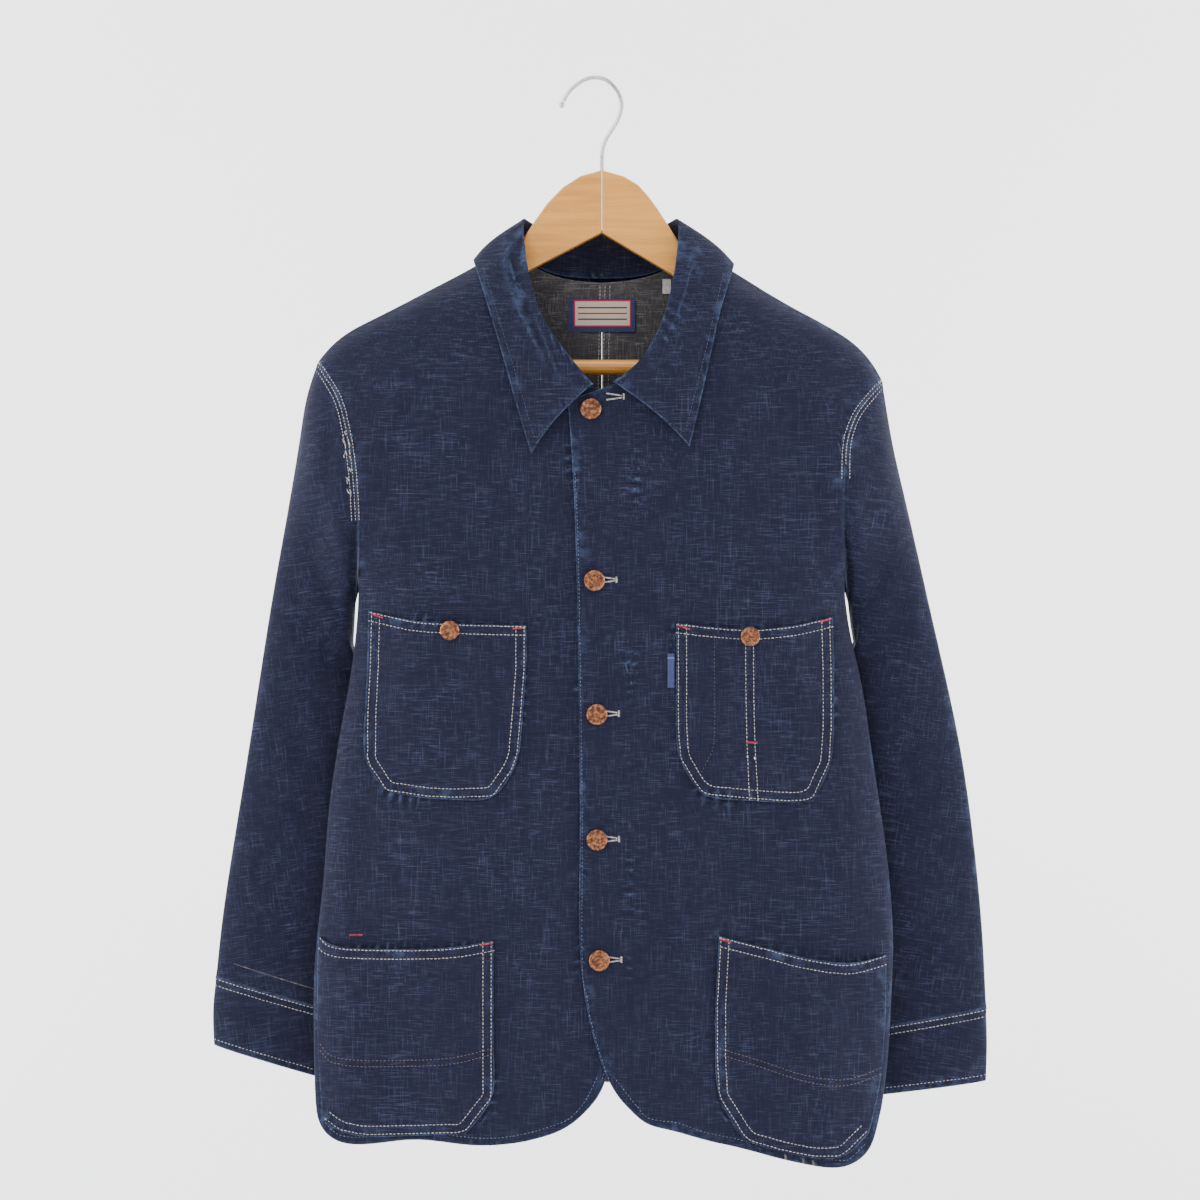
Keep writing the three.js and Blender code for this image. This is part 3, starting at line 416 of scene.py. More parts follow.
def makeWearAndPuckerShadeGroup():
    # pale worn line on an edge and broken pale wear beside a sewn seam; on the pucker ridges a pale mark that
    # is partly wear and partly painted highlight, and painted shade in the pucker troughs
    tree, start, end = group("edgeWearAndPuckerShade", [("Vector", "Vector"), ("Float", "Edge"), ("Float", "Rope")],
                             [("Float", "PaleWearAndRidgeHighlight"), ("Float", "PuckerTroughShade")])
    vector = start.outputs["Vector"]
    broken = noise(tree, vector, (1, 1, 1), 300, 4, 0.62)
    rough = noise(tree, vector, (1, 1, 1), 85, 4, 0.6)
    patchy = noise(tree, vector, (1, 1, 1), 22, 3, 0.5)
    edge = spread(tree, start.outputs["Edge"], 0.1, 1.7, 0.85, 0)
    edge = maths(tree, "MULTIPLY", edge, spread(tree, broken, 0.38, 0.6, 0.15, 1))
    edge = maths(tree, "MULTIPLY", edge, spread(tree, patchy, 0.36, 0.6, 0.35, 1))
    near = spread(tree, start.outputs["Edge"], 1.2, 12, 0.5, 0)
    near = maths(tree, "MULTIPLY", near, spread(tree, rough, 0.48, 0.66, 0, 1))
    near = maths(tree, "MULTIPLY", near, spread(tree, patchy, 0.44, 0.62, 0, 1))
    # pale on the pucker ridges: partly wear, partly painted highlight
    rope = spread(tree, start.outputs["Rope"], 0.07, 0.36, 0, 0.62)
    rope = maths(tree, "MULTIPLY", rope, spread(tree, broken, 0.4, 0.62, 0.15, 1))
    pale = maths(tree, "MAXIMUM", maths(tree, "MAXIMUM", edge, near), rope, clamp=True)
    tree.links.new(pale, end.inputs["PaleWearAndRidgeHighlight"])
    # painted shade: dark where the puckers sink into troughs
    tree.links.new(spread(tree, start.outputs["Rope"], -0.32, -0.04, 0.55, 0), end.inputs["PuckerTroughShade"])
    return tree


weaveGroup = makeWeaveGroup()
wearAndPuckerShadeGroup = makeWearAndPuckerShadeGroup()


def newMaterial(name, roughness, metallic=0.0):
    material = bpy.data.materials.new(name)
    material.use_nodes = True
    tree = material.node_tree
    shader = next(n for n in tree.nodes if n.type == "BSDF_PRINCIPLED")
    shader.inputs["Roughness"].default_value = roughness
    shader.inputs["Metallic"].default_value = metallic
    coordinates = tree.nodes.new("ShaderNodeTexCoord").outputs["Object"]
    return material, tree, shader, coordinates


def placed(tree, groupTree, **values):
    node = tree.nodes.new("ShaderNodeGroup")
    node.node_tree = groupTree
    for label, value in values.items():
        if isinstance(value, (int, float, tuple)):
            node.inputs[label].default_value = value
        else:
            tree.links.new(value, node.inputs[label])
    return node


def bumped(tree, shader, height, strength, distance):
    bump = tree.nodes.new("ShaderNodeBump")
    bump.inputs["Strength"].default_value = strength
    bump.inputs["Distance"].default_value = distance
    tree.links.new(height, bump.inputs["Height"])
    tree.links.new(bump.outputs[0], shader.inputs["Normal"])


def attribute(tree, name):
    node = tree.nodes.new("ShaderNodeAttribute")
    node.attribute_name = name
    return node.outputs["Fac"]


# the pale wear colour also paints the highlight on pucker ridges; the dark colour paints the shade in the
# pucker troughs
denimLook = {
    "warp": (0.0062, 0.0068, 0.0165, 1), "weft": (0.036, 0.041, 0.078, 1),
    "wornAndRidgeHighlight": (0.055, 0.08, 0.15, 1), "dark": (0.004, 0.0042, 0.009, 1),
    "slub": 0.95, "roughness": 0.86, "sheen": 0.03, "sheenRoughness": 0.5, "specular": 0.06,
    "bump": 0.6, "bumpDistance": 0.00035, "sleeveTurn": 9,
}


def makeDenim(name, turn, look):
    material, tree, shader, vector = newMaterial(name, look["roughness"])
    mapping = tree.nodes.new("ShaderNodeMapping")
    mapping.inputs["Rotation"].default_value = (0, math.radians(turn), 0)
    tree.links.new(vector, mapping.inputs["Vector"])
    weave = placed(tree, weaveGroup, Vector=mapping.outputs[0], Warp=look["warp"], Weft=look["weft"],
                   Slub=look["slub"])
    wearAndShade = placed(tree, wearAndPuckerShadeGroup, Vector=vector, Edge=attribute(tree, "edge"),
                  Rope=attribute(tree, "rope"))
    # painted shade: the pucker troughs pulled towards the dark colour
    colour = mixed(tree, wearAndShade.outputs["PuckerTroughShade"], weave.outputs["Color"], look["dark"])
    # pale wear on edges and seams, with painted highlight on the pucker ridges
    colour = mixed(tree, wearAndShade.outputs["PaleWearAndRidgeHighlight"], colour, look["wornAndRidgeHighlight"])
    tree.links.new(colour, shader.inputs["Base Color"])
    shader.inputs["Sheen Weight"].default_value = look["sheen"]
    shader.inputs["Sheen Roughness"].default_value = look["sheenRoughness"]
    shader.inputs["Specular IOR Level"].default_value = look["specular"]
    bumped(tree, shader, weave.outputs["Height"], look["bump"], look["bumpDistance"])
    return material


denim = makeDenim("denim", 0, denimLook)
denimSleeve = {"left": makeDenim("denimSleeveLeft", denimLook["sleeveTurn"], denimLook),
               "right": makeDenim("denimSleeveRight", -denimLook["sleeveTurn"], denimLook)}
# on the reverse too, the dark colour is painted shade in the pucker troughs
reverseLook = dict(denimLook, warp=(0.05, 0.047, 0.05, 1), weft=(0.17, 0.16, 0.155, 1),
                   wornAndRidgeHighlight=(0.18, 0.17, 0.165, 1), dark=(0.03, 0.028, 0.03, 1), slub=1.1)
reverse = makeDenim("denimReverse", 0, reverseLook)
print("materials: denim made")


# cloth pieces from the solids
clothWall = 1.3
turnedIn = 17  # how far the cloth is turned in at the cuff seams and hems
rimAngle = math.radians(42)
rimSlack = 0.3
merging = 0.00002
levels = 3


def makeCloth(node, name, heights, side=None, materials=(denim, reverse), twoFaces=True, shift=0):
    # copies the solid, rounds it, lays the creases on it and names its two faces
    bm = bmesh.new()
    bm.from_mesh(nodes[node].data)
    bmesh.ops.remove_doubles(bm, verts=bm.verts, dist=merging)
    bmesh.ops.join_triangles(bm, faces=bm.faces, angle_face_threshold=math.radians(50),
                             angle_shape_threshold=math.radians(75))
    crease = bm.edges.layers.float.get("crease_edge") or bm.edges.layers.float.new("crease_edge")
    isRim = {f: any(abs(e.calc_length() / mm - clothWall) < rimSlack for e in f.edges) for f in bm.faces}
    for e in bm.edges:
        if len(e.link_faces) == 2:
            a, b = e.link_faces
            turned = e.calc_face_angle(0) > rimAngle
            e[crease] = 1.0 if turned and (isRim[a] or isRim[b]) else 0.0
    mesh = bpy.data.meshes.new(name)
    bm.to_mesh(mesh)
    bm.free()
    obj = bpy.data.objects.new(name, mesh)
    bpy.context.scene.collection.objects.link(obj)
    modifier = obj.modifiers.new("round", "SUBSURF")
    modifier.levels = modifier.render_levels = levels
    bpy.context.view_layer.update()
    fine = bpy.data.meshes.new_from_object(obj.evaluated_get(bpy.context.evaluated_depsgraph_get()))
    obj.modifiers.clear()
    obj.data = fine
    count = len(fine.vertices)
    co = np.empty(count * 3)
    fine.vertices.foreach_get("co", co)
    co = co.reshape(-1, 3) / mm
    # the rim: vertices on edges that turn sharply
    bm = bmesh.new()
    bm.from_mesh(fine)
    rim = np.zeros(count, bool)
    for e in bm.edges:
        if e.calc_face_angle(0) > rimAngle:
            e.smooth = False
            rim[e.verts[0].index] = rim[e.verts[1].index] = True
    bm.to_mesh(fine)
    bm.free()
    tree = KDTree(int(rim.sum()))
    for i in np.nonzero(rim)[0]:
        tree.insert(co[i], int(i))
    tree.balance()
    edge = np.array([tree.find(p)[2] for p in co])
    height, rope, direction = heights(co, edge)
    co += direction * height[:, None]
    fine.vertices.foreach_set("co", (co * mm).ravel())
    fine.update()
    for label, values in (("edge", edge), ("rope", rope)):
        fine.attributes.new(label, "FLOAT", "POINT").data.foreach_set("value", values.astype(np.float32))
    for material in materials:
        fine.materials.append(material)
    faces = len(fine.polygons)
    centre, normal = np.empty(faces * 3), np.empty(faces * 3)
    fine.polygons.foreach_get("center", centre)
    fine.polygons.foreach_get("normal", normal)
    centre, normal = centre.reshape(-1, 3) / mm, normal.reshape(-1, 3)
    if twoFaces:
        middle = axisOf(side, centre[:, 2]) + np.array([[0, shift]])
        inside = ((centre[:, :2] - middle) * normal[:, :2]).sum(1) < 0
        if side:  # where the cloth is turned in, its outer face shows on both sides
            corner = np.empty(faces, np.int32)
            fine.polygons.foreach_get("loop_start", corner)
            first = np.empty(len(fine.loops), np.int32)
            fine.loops.foreach_get("vertex_index", first)
            inside &= edge[first[corner]] > turnedIn
        fine.polygons.foreach_set("material_index", inside.astype(np.int32))
    fine.polygons.foreach_set("use_smooth", np.ones(faces, bool))
    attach(obj, "root")
    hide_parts(node)
    print(f"{name}: {faces} faces")
    return obj


def axisOf(side, z):
    # middle line of the body, or of a sleeve
    if side is None:
        return np.stack([np.full(len(z), middleX), -14 * smooth((underarmZ - z) / 422)], 1)
    outer, inner = foldsAt(side, z)
    return np.stack([(outer + inner) / 2, np.interp(-z, [235, 426, 520, 850], [0, 8, 20, 22])], 1)


def bodyHeights(isBack):
    def heights(co, edge):
        height, distance, run = bodyHeight(co[:, 0], co[:, 2], isBack)
        rope = puckerHeight(distance, run)
        return height, rope, np.array([[0, 1.0 if isBack else -1.0, 0]]).repeat(len(co), 0)
    return heights


def sleeveHeights(side, half=None):
    def heights(co, edge):
        isBack = np.full(len(co), half == "under")
        if half is None:
            isBack = co[:, 1] > axisOf(side, co[:, 2])[:, 1]
        height, rope = np.empty(len(co)), np.empty(len(co))
        for back in (False, True):
            pick = isBack == back
            h, distance, run = sleeveHeight(side, co[pick, 0], co[pick, 2], back)
            height[pick], rope[pick] = h, puckerHeight(distance, run)
        direction = np.zeros_like(co)
        direction[:, 1] = np.where(isBack, 1.0, -1.0)
        return height, rope, direction
    return heights


def collarHeights(co, edge):
    run = np.arctan2(co[:, 1] + 10, co[:, 0] - middleX) * 90 + co[:, 2] * 0.5
    rope = puckerHeight(edge, run)
    direction = np.zeros_like(co)
    direction[:, 1] = np.where(co[:, 1] < 0, -1.0, 1.0) * smooth(np.abs(co[:, 1]) / 14)
    direction[:, 0] = np.where(co[:, 0] < middleX, -1.0, 1.0) * (1 - np.abs(direction[:, 1])) * 0.5
    lift = 0.5 * rippleHeight(co[:, 0] * 1.5 + 900, co[:, 2] * 1.5)
    return np.clip(lift, -0.25, 1.2) + rope * 0.7, rope, direction


cloth = {}
for side in ("left", "right"):
    cloth["front_" + side] = makeCloth("front_" + side, "denim_front_" + side, bodyHeights(False))
    cloth["back_" + side] = makeCloth("back_" + side, "denim_back_" + side, bodyHeights(True))
    inSleeve = (denimSleeve[side], reverse)
    for half, shift in (("top", 14), ("under", -14)):
        piece = f"{half}_sleeve_{side}"
        cloth[piece] = makeCloth(piece, "denim_" + piece, sleeveHeights(side, half), side, inSleeve,
                                 shift=shift)
    piece = "cuff_" + side
    cloth[piece] = makeCloth(piece, "denim_" + piece, sleeveHeights(side), side, inSleeve)
    for kind in ("chest_pocket_", "lower_pocket_"):
        cloth[kind + side] = makeCloth(kind + side, "denim_" + kind + side, bodyHeights(False), None,
                                       (denim, denim), False)
cloth["collar"] = makeCloth("collar", "denim_collar", collarHeights, None, (denim, denim), False)
print("cloth made")


# sewing
trees = {}
rayStart = 0.2


def treeOf(piece):
    if piece not in trees:
        mesh = cloth[piece].data
        faces = [tuple(p.vertices) for p in mesh.polygons]
        trees[piece] = BVHTree.FromPolygons([v.co for v in mesh.vertices], faces)
    return trees[piece]


def onCloth(x, z, pieces, fromBack=False):
    # the point of the cloth that is seen at x, z, and the way it faces
    start = Vector((x * mm, rayStart if fromBack else -rayStart, z * mm))
    way = Vector((0, -1 if fromBack else 1, 0))
    best = None
    for piece in pieces:
        hit, normal, _, far = treeOf(piece).ray_cast(start, way)
        if hit is not None and (best is None or far < best[2]):
            best = (hit, normal, far)
    return best


thread = {"length": 2.5, "pitch": 3.15, "width": 0.72, "height": 0.5, "jitter": 0.12, "lift": 0.12,
          "steep": 0.12, "armPitch": 2.7}


def stitchShape():
    bm = bmesh.new()
    bmesh.ops.create_uvsphere(bm, u_segments=5, v_segments=3, radius=0.5 * mm)
    bmesh.ops.rotate(bm, verts=bm.verts, matrix=Matrix.Rotation(math.pi / 2, 3, "Y"))
    mesh = bpy.data.meshes.new("stitchShape")
    bm.to_mesh(mesh)
    bm.free()
    return mesh


baseStitch = stitchShape()


def frameAt(point, normal, ahead, size):
    # a matrix that lays a shape on the cloth: x ahead, z off the cloth
    z = normal.normalized()
    x = (ahead - ahead.dot(z) * z).normalized()
    y = z.cross(x)
    turn = Matrix((x, y, z)).transposed().to_4x4()
    return Matrix.Translation(point) @ turn @ Matrix.Diagonal((*size, 1))


def stamped(name, base, places, material):
    # one mesh with the base shape at every place
    verts = np.array([v.co[:] + (1,) for v in base.vertices])
    loops = np.array([l.vertex_index for l in base.loops])
    starts = np.array([p.loop_start for p in base.polygons])
    matrices = np.array([np.array(m) for m in places])
    co = np.einsum("nij,vj->nvi", matrices, verts)[:, :, :3].reshape(-1, 3)
    steps = np.arange(len(places))[:, None]
    mesh = bpy.data.meshes.new(name)
    mesh.vertices.add(len(co))
    mesh.loops.add(len(loops) * len(places))
    mesh.polygons.add(len(starts) * len(places))
    mesh.vertices.foreach_set("co", co.ravel())
    mesh.loops.foreach_set("vertex_index", (loops[None, :] + steps * len(verts)).ravel())
    mesh.polygons.foreach_set("loop_start", (starts[None, :] + steps * len(loops)).ravel())
    mesh.update(calc_edges=True)
    mesh.validate()
    mesh.polygons.foreach_set("use_smooth", np.ones(len(mesh.polygons), bool))
    mesh.materials.append(material)
    obj = bpy.data.objects.new(name, mesh)
    bpy.context.scene.collection.objects.link(obj)
    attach(obj, "root")
    print(f"{name}: {len(places)} shapes")
    return obj


def makeThread(name, colour, shade):
    material, tree, shader, vector = newMaterial(name, 0.75)
    tint = noise(tree, vector, (1, 1, 1), 420, 3)
    tree.links.new(mixed(tree, spread(tree, tint, 0.4, 0.64), shade, colour), shader.inputs["Base Color"])
    shader.inputs["Sheen Weight"].default_value = 0.1
    bumped(tree, shader, noise(tree, vector, (1, 1, 1), 2600, 1), 0.4, 0.0001)
    return material


whiteThread = makeThread("threadWhite", (0.46, 0.43, 0.39, 1), (0.24, 0.22, 0.21, 1))
tanThread = makeThread("threadTan", (0.12, 0.08, 0.06, 1), (0.06, 0.045, 0.04, 1))
blueThread = makeThread("threadBlue", (0.1, 0.15, 0.26, 1), (0.025, 0.035, 0.08, 1))
navyThread = makeThread("threadNavy", (0.02, 0.028, 0.075, 1), (0.006, 0.008, 0.022, 1))
redThread = makeThread("threadRed", (0.42, 0.012, 0.035, 1), (0.2, 0.006, 0.02, 1))


def row(line, pieces, fromBack=False, size=1.0, pitch=None, curved=True):
    # places of the stitches along one row
    pitch = pitch or thread["pitch"]
    points, _ = along(line, pitch) if curved else evenly(line, pitch)
    places = []
    for (x0, z0), (x1, z1) in zip(points[:-1], points[1:]):
        sway = random.uniform(-1, 1) * thread["jitter"]
        hit = onCloth((x0 + x1) / 2 + sway, (z0 + z1) / 2 + sway, pieces, fromBack)
        if hit is None or abs(hit[1].y) < thread["steep"]:
            continue
        length = thread["length"] * pitch / thread["pitch"] * random.uniform(0.9, 1.08)
        shape = (length * size, thread["width"] * size * random.uniform(0.85, 1.1), thread["height"] * size)
        normal = hit[1] if (hit[1].y > 0) == fromBack else -hit[1]
        ahead = Vector((x1 - x0, 0, z1 - z0))
        places.append(frameAt(hit[0] + normal * thread["lift"] * mm, normal, ahead, shape))
    return places


whiteRows = {"body": [], "sleeves": [], "pockets": [], "back": []}
tanRows, blueRows, redRows = [], [], []

# pockets: double rows round the sides and foot, and a double row at the mouth
for name, pocket in pockets.items():
    here = [name]
    isLow = name.startswith("lower")
    for inset in (1.9, 8.6):
        whiteRows["pockets"] += row(evenly(shifted(pocket["round"], inset), 8)[0], here, curved=True)
    for inset in (1.1, 8.0):
        whiteRows["pockets"] += row(shifted(pocket["mouth"], -inset), here)
    if isLow:
        drop = 88 if name.endswith("left") else 92
        last = len(pocket["mouth"]) - 1
        sag = [(x, z - drop - 4 * math.sin(math.pi * i / last)) for i, (x, z) in enumerate(pocket["mouth"])]
        for inset in (0, 5):
            tanRows += row([(x, z - inset) for x, z in sag], here, size=0.85)
# the pen division
for line in ([(122, -468), (123, -540), (125.5, -598)], [(128.5, -468), (129.5, -540), (132.5, -599)]):
    whiteRows["pockets"] += row(line, ["chest_pocket_right"])
tanRows += row([(96.3, -461), (96.3, -545), (90.5, -565), (84, -578)], ["chest_pocket_right"], size=0.6)

# armholes: three rows, the first on the body and two on the sleeve
# in front they fade out above the underarm
armRows = {"left": {"lowest": -372}, "right": {"lowest": -336}, "sway": 4}
for side, sign in (("left", -1), ("right", 1)):
    arm = outline[side]["armhole"]
    for inset in (-1.2, 2.0, 5.2):
        line = shifted(along(arm, 12)[0], sign * inset)
        lowest = armRows[side]["lowest"] + armRows["sway"] * math.sin(inset)
        pitch = thread["armPitch"]
        whiteRows["sleeves"] += row([p for p in line if p[1] > lowest], ["front_" + side, "top_sleeve_" + side],
                                    pitch=pitch)
        whiteRows["back"] += row(line, ["back_" + side, "under_sleeve_" + side], True, pitch=pitch)
    outer, inner = outline[side]["sleeveOuter"][-1], outline[side]["sleeveInner"][-1]
    cuffOuter, cuffInner = outline[side]["cuffOuter"][-1], outline[side]["cuffInner"][-1]
    for back in (False, True):
        kept = whiteRows["back" if back else "sleeves"]
        for drop in (-1.5, -7.0):
            line = [(outer[0] + sign * 1, outer[1] + drop),
                    ((outer[0] + inner[0]) / 2, (outer[1] + inner[1]) / 2 + drop),
                    (inner[0], inner[1] + drop)]
            kept += row(line, ["cuff_" + side], back)
        hemLine = [(cuffOuter[0], cuffOuter[1] + 5),
                   ((cuffOuter[0] + cuffInner[0]) / 2, (cuffOuter[1] + cuffInner[1]) / 2 + 5.5),
                   (cuffInner[0], cuffInner[1] + 5)]
        kept += row(hemLine, ["cuff_" + side], back, size=0.85)
    # felled underarm seam, down the back of the sleeve
    inside = outline[side]["sleeveInner"]
    for inset in (11, 16):
        line = [(x + sign * inset, z) for x, z in inside[1:]]
        whiteRows["back"] += row(line, ["under_sleeve_" + side], True)

# hem, front edges, neck
for side, sign in (("left", -1), ("right", 1)):
    edge = outline[side]["frontEdge"]
    hem = outline[side]["hem"]
    blueRows += row(shifted(edge, -sign * -1.8 if side == "left" else 1.8)[1:], ["front_" + side], size=0.8)
    lower = shifted([edge[-1]] + hem[1:-2], -sign * -6.5 if side == "left" else 6.5)
    blueRows += row(lower, ["front_" + side], size=0.85)
backHem = [(-228, -823), (-80, -827), (middleX, -827), (80, -829), (231, -840)]
whiteRows["back"] += row(backHem, ["back_left", "back_right"], True, size=0.85)
for offset in (-3.0, 1.2, 5.4):
    x = middleX - 4 + offset - 3
    whiteRows["back"] += row([(x, -172), (x, -500), (x, -822)], ["back_left"], True)
    # the same seam seen from inside, through the neck
    x = middleX + offset
    whiteRows["body"] += row([(x + 1.5, -169), (x, -256), (x, -300)], ["back_left", "back_right"], size=1.15)
for side, sign in (("left", -1), ("right", 1)):
    seam = outline[side]["side"]
    for inset in (4, 9):
        whiteRows["back"] += row([(x - sign * inset, z) for x, z in seam[1:]], ["back_" + side], True)
# round each collar leaf
navyRows = []
for leaf, inset in (([(-100, -160), (-77, -236), (-54, -313), (-13, -272), (-5, -260)], 6.5),
                    ([(111, -164), (94, -236), (76, -307), (19, -266), (13, -256)], -6.5)):
    navyRows += row(evenly(shifted(leaf, inset), 6)[0], ["collar"], size=0.85)


def tangle(x0, x1, z0, z1, count, pieces):
    # loose stitches laid over each other, where a seam was sewn twice
    places = []
    for _ in range(count):
        hit = onCloth(random.uniform(x0, x1), random.uniform(z0, z1), pieces)
        lean = random.gauss(0, 0.35)
        if hit:
            normal = hit[1] if hit[1].y < 0 else -hit[1]
            shape = (random.uniform(3, 6), 0.7, 0.5)
            places.append(frameAt(hit[0] + normal * 0.3 * mm, normal, Vector((0.25 + lean, 0, -1)), shape))
    return places


whiteRows["sleeves"] += tangle(-209.5, -203, -316, -290, 16, ["top_sleeve_left"])
whiteRows["sleeves"] += tangle(-206, -202, -350, -322, 8, ["top_sleeve_left"])
for x, z in ((123.7, -562), (129.5, -563)):
    hit = onCloth(x, z, ["chest_pocket_right"])
    normal = -hit[1] if hit[1].y > 0 else hit[1]
    whiteRows["pockets"].append(frameAt(hit[0], normal, Vector((0.3, 0, -1)), (2.6, 1.5, 1.4)))

for label, places in whiteRows.items():
    stamped("stitches_" + label, baseStitch, places, whiteThread)
stamped("stitches_tan", baseStitch, tanRows, tanThread)
stamped("stitches_blue", baseStitch, blueRows, blueThread)
stamped("stitches_navy", baseStitch, navyRows, navyThread)


def bar(a, b, pieces, width=1.9, pitch=0.55):
    # a dense bar of thread from a to b
    points, _ = evenly([a, b], pitch)
    ahead = Vector((b[0] - a[0], 0, b[1] - a[1])).normalized()
    places = []
    for x, z in points:
        hit = onCloth(x, z, pieces)
        if hit is None:
            continue
        across = ahead.cross(Vector((0, 1, 0)))
        shape = (width * random.uniform(0.85, 1.15), 0.62, 0.9)
        normal = -hit[1] if hit[1].y > 0 else hit[1]
        places.append(frameAt(hit[0] - Vector((0, 0.15 * mm, 0)), normal, across, shape))
    return places


# red bar tacks at the pocket mouths, the pen division and one left over from a moved pocket
tacks = [
    # start, end, piece
    ((-186.5, -444.5), (-177, -447.5), "chest_pocket_left"),
    ((-69, -456.5), (-60.5, -455.8), "chest_pocket_left"),
    ((66, -453.5), (76, -457.0), "chest_pocket_right"),
    ((184, -451), (193, -448.5), "chest_pocket_right"),
    ((122.8, -550), (131.5, -550.2), "chest_pocket_right"),
    ((-95.5, -716.3), (-86, -714.8), "lower_pocket_left"),
    ((101, -711.2), (110, -714), "lower_pocket_right"),
    ((-204, -709.2), (-193.5, -709), "front_left"),
]
for a, b, piece in tacks:
    redRows += bar(a, b, [piece])
stamped("bar_tacks", baseStitch, redRows, redThread)

# where each buttonhole starts: two legs that close in to a knot, with a short bar past it
holes = []
for x, z in ((4, -266.5), (-2, -417), (0, -527), (0, -630), (2, -729)):
    for sign in (-1, 1):
        leg = ((x + 4, z + sign * 2.6 + 0.6), (x + 16.5, z + sign * 0.8 + 0.6))
        holes += bar(*leg, ["front_right"], 1.5, 0.5)
    holes += bar((x + 18, z - 2.2 + 0.6), (x + 18, z + 2.4 + 0.6), ["front_right"], 2.0, 0.5)
stamped("buttonholes", baseStitch, holes, whiteThread)
print("sewing made")

# buttons
copperLook = {"face": (0.36, 0.15, 0.075, 1), "tarnish": (0.085, 0.036, 0.022, 1), "roughness": 0.4}


def makeCopper():
    material, tree, shader, vector = newMaterial("copper", copperLook["roughness"], 1.0)
    cloud = noise(tree, vector, (1, 1, 1), 420, 5, 0.65)
    colour = mixed(tree, spread(tree, cloud, 0.42, 0.62), copperLook["tarnish"], copperLook["face"])
    tree.links.new(colour, shader.inputs["Base Color"])
    tree.links.new(spread(tree, cloud, 0.3, 0.7, 0.5, 0.26), shader.inputs["Roughness"])
    bumped(tree, shader, noise(tree, vector, (1, 1, 1), 1500, 3), 0.35, 0.00012)
    return material


copper = makeCopper()
buttonShape = {
    # radius as a share of the button's, and height over the cloth in mm
    "profile": [(0.0, 3.35), (0.3, 3.32), (0.36, 3.5), (0.42, 3.32), (0.66, 3.1), (0.72, 3.3), (0.78, 3.12),
                (0.9, 3.1), (0.985, 2.75), (1.0, 2.2), (0.95, 1.6), (0.4, 1.25), (0.36, 0.0), (0.0, 0.0)],
    "beads": 14, "beadAt": 0.55, "beadHeight": 3.45, "beadRadius": 0.55, "steps": 48, "plainDepth": 4.2,
}


def makeButton(node, name):
    low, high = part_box(node)
    centre = (low + high) / 2
    radius = (high.x - low.x) / 2
    scale = (high.y - low.y) / mm / buttonShape["plainDepth"]
    bm = bmesh.new()
    verts = [bm.verts.new((r * radius, 0, h * scale * mm * 1.1)) for r, h in buttonShape["profile"]]
    edges = [bm.edges.new(pair) for pair in zip(verts[:-1], verts[1:])]
    bmesh.ops.spin(bm, geom=verts + edges, cent=(0, 0, 0), axis=(0, 0, 1), angle=math.tau,
                   steps=buttonShape["steps"], use_merge=True)
    bmesh.ops.remove_doubles(bm, verts=bm.verts, dist=1e-6)
    bmesh.ops.recalc_face_normals(bm, faces=bm.faces)
    for i in range(buttonShape["beads"]):
        turn = math.tau * i / buttonShape["beads"]
        reach = radius * buttonShape["beadAt"]
        at = (reach * math.cos(turn), reach * math.sin(turn), buttonShape["beadHeight"] * scale * mm)
        bmesh.ops.create_icosphere(bm, subdivisions=2, radius=buttonShape["beadRadius"] * mm,
                                   matrix=Matrix.Translation(at))
    place = Matrix.Translation((centre.x, high.y, centre.z)) @ Matrix.Rotation(math.pi / 2, 4, "X")
    bmesh.ops.transform(bm, matrix=place, verts=bm.verts)
    mesh = bpy.data.meshes.new(name)
    bm.to_mesh(mesh)
    bm.free()
    mesh.polygons.foreach_set("use_smooth", np.ones(len(mesh.polygons), bool))
    mesh.materials.append(copper)
    obj = bpy.data.objects.new(name, mesh)
    bpy.context.scene.collection.objects.link(obj)
    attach(obj, "root")
    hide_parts(node)


for i in range(5):
    makeButton(f"front_button_{i + 1}", f"copper_button_{i + 1}")
for side in ("left", "right"):
    makeButton("pocket_button_" + side, "copper_pocket_button_" + side)
print("buttons made")


# labels
def banded(tree, value, low, high):
    above = maths(tree, "GREATER_THAN", value, low * mm)
    return maths(tree, "MULTIPLY", above, maths(tree, "LESS_THAN", value, high * mm))


def makeLabel(node, name, ground, weft, bands):
    material, tree, shader, vector = newMaterial(name, 0.8)
    weave = placed(tree, weaveGroup, Vector=vector, Warp=ground, Weft=weft, Slub=0.4)
    split = tree.nodes.new("ShaderNodeSeparateXYZ")
    tree.links.new(vector, split.inputs[0])
    colour = weave.outputs["Color"]
    for x0, x1, z0, z1, tint in bands:
        mask = maths(tree, "MULTIPLY", banded(tree, split.outputs[0], x0, x1),
                     banded(tree, split.outputs[2], z0, z1))
        colour = mixed(tree, mask, colour, tint)
    tree.links.new(colour, shader.inputs["Base Color"])
    bumped(tree, shader, weave.outputs["Height"], 0.5, 0.0003)
    bm = bmesh.new()
    bm.from_mesh(nodes[node].data)
    bmesh.ops.remove_doubles(bm, verts=bm.verts, dist=merging)
    bmesh.ops.subdivide_edges(bm, edges=bm.edges, cuts=2, use_grid_fill=True)
    mesh = bpy.data.meshes.new(name)
    bm.to_mesh(mesh)
    bm.free()
    mesh.materials.append(material)
    obj = bpy.data.objects.new(name, mesh)
    bpy.context.scene.collection.objects.link(obj)
    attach(obj, "root")
    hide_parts(node)
    return obj


cream, navy = (0.5, 0.4, 0.31, 1), (0.014, 0.02, 0.085, 1)
red, pale = (0.34, 0.014, 0.045, 1), (0.56, 0.55, 0.52, 1)
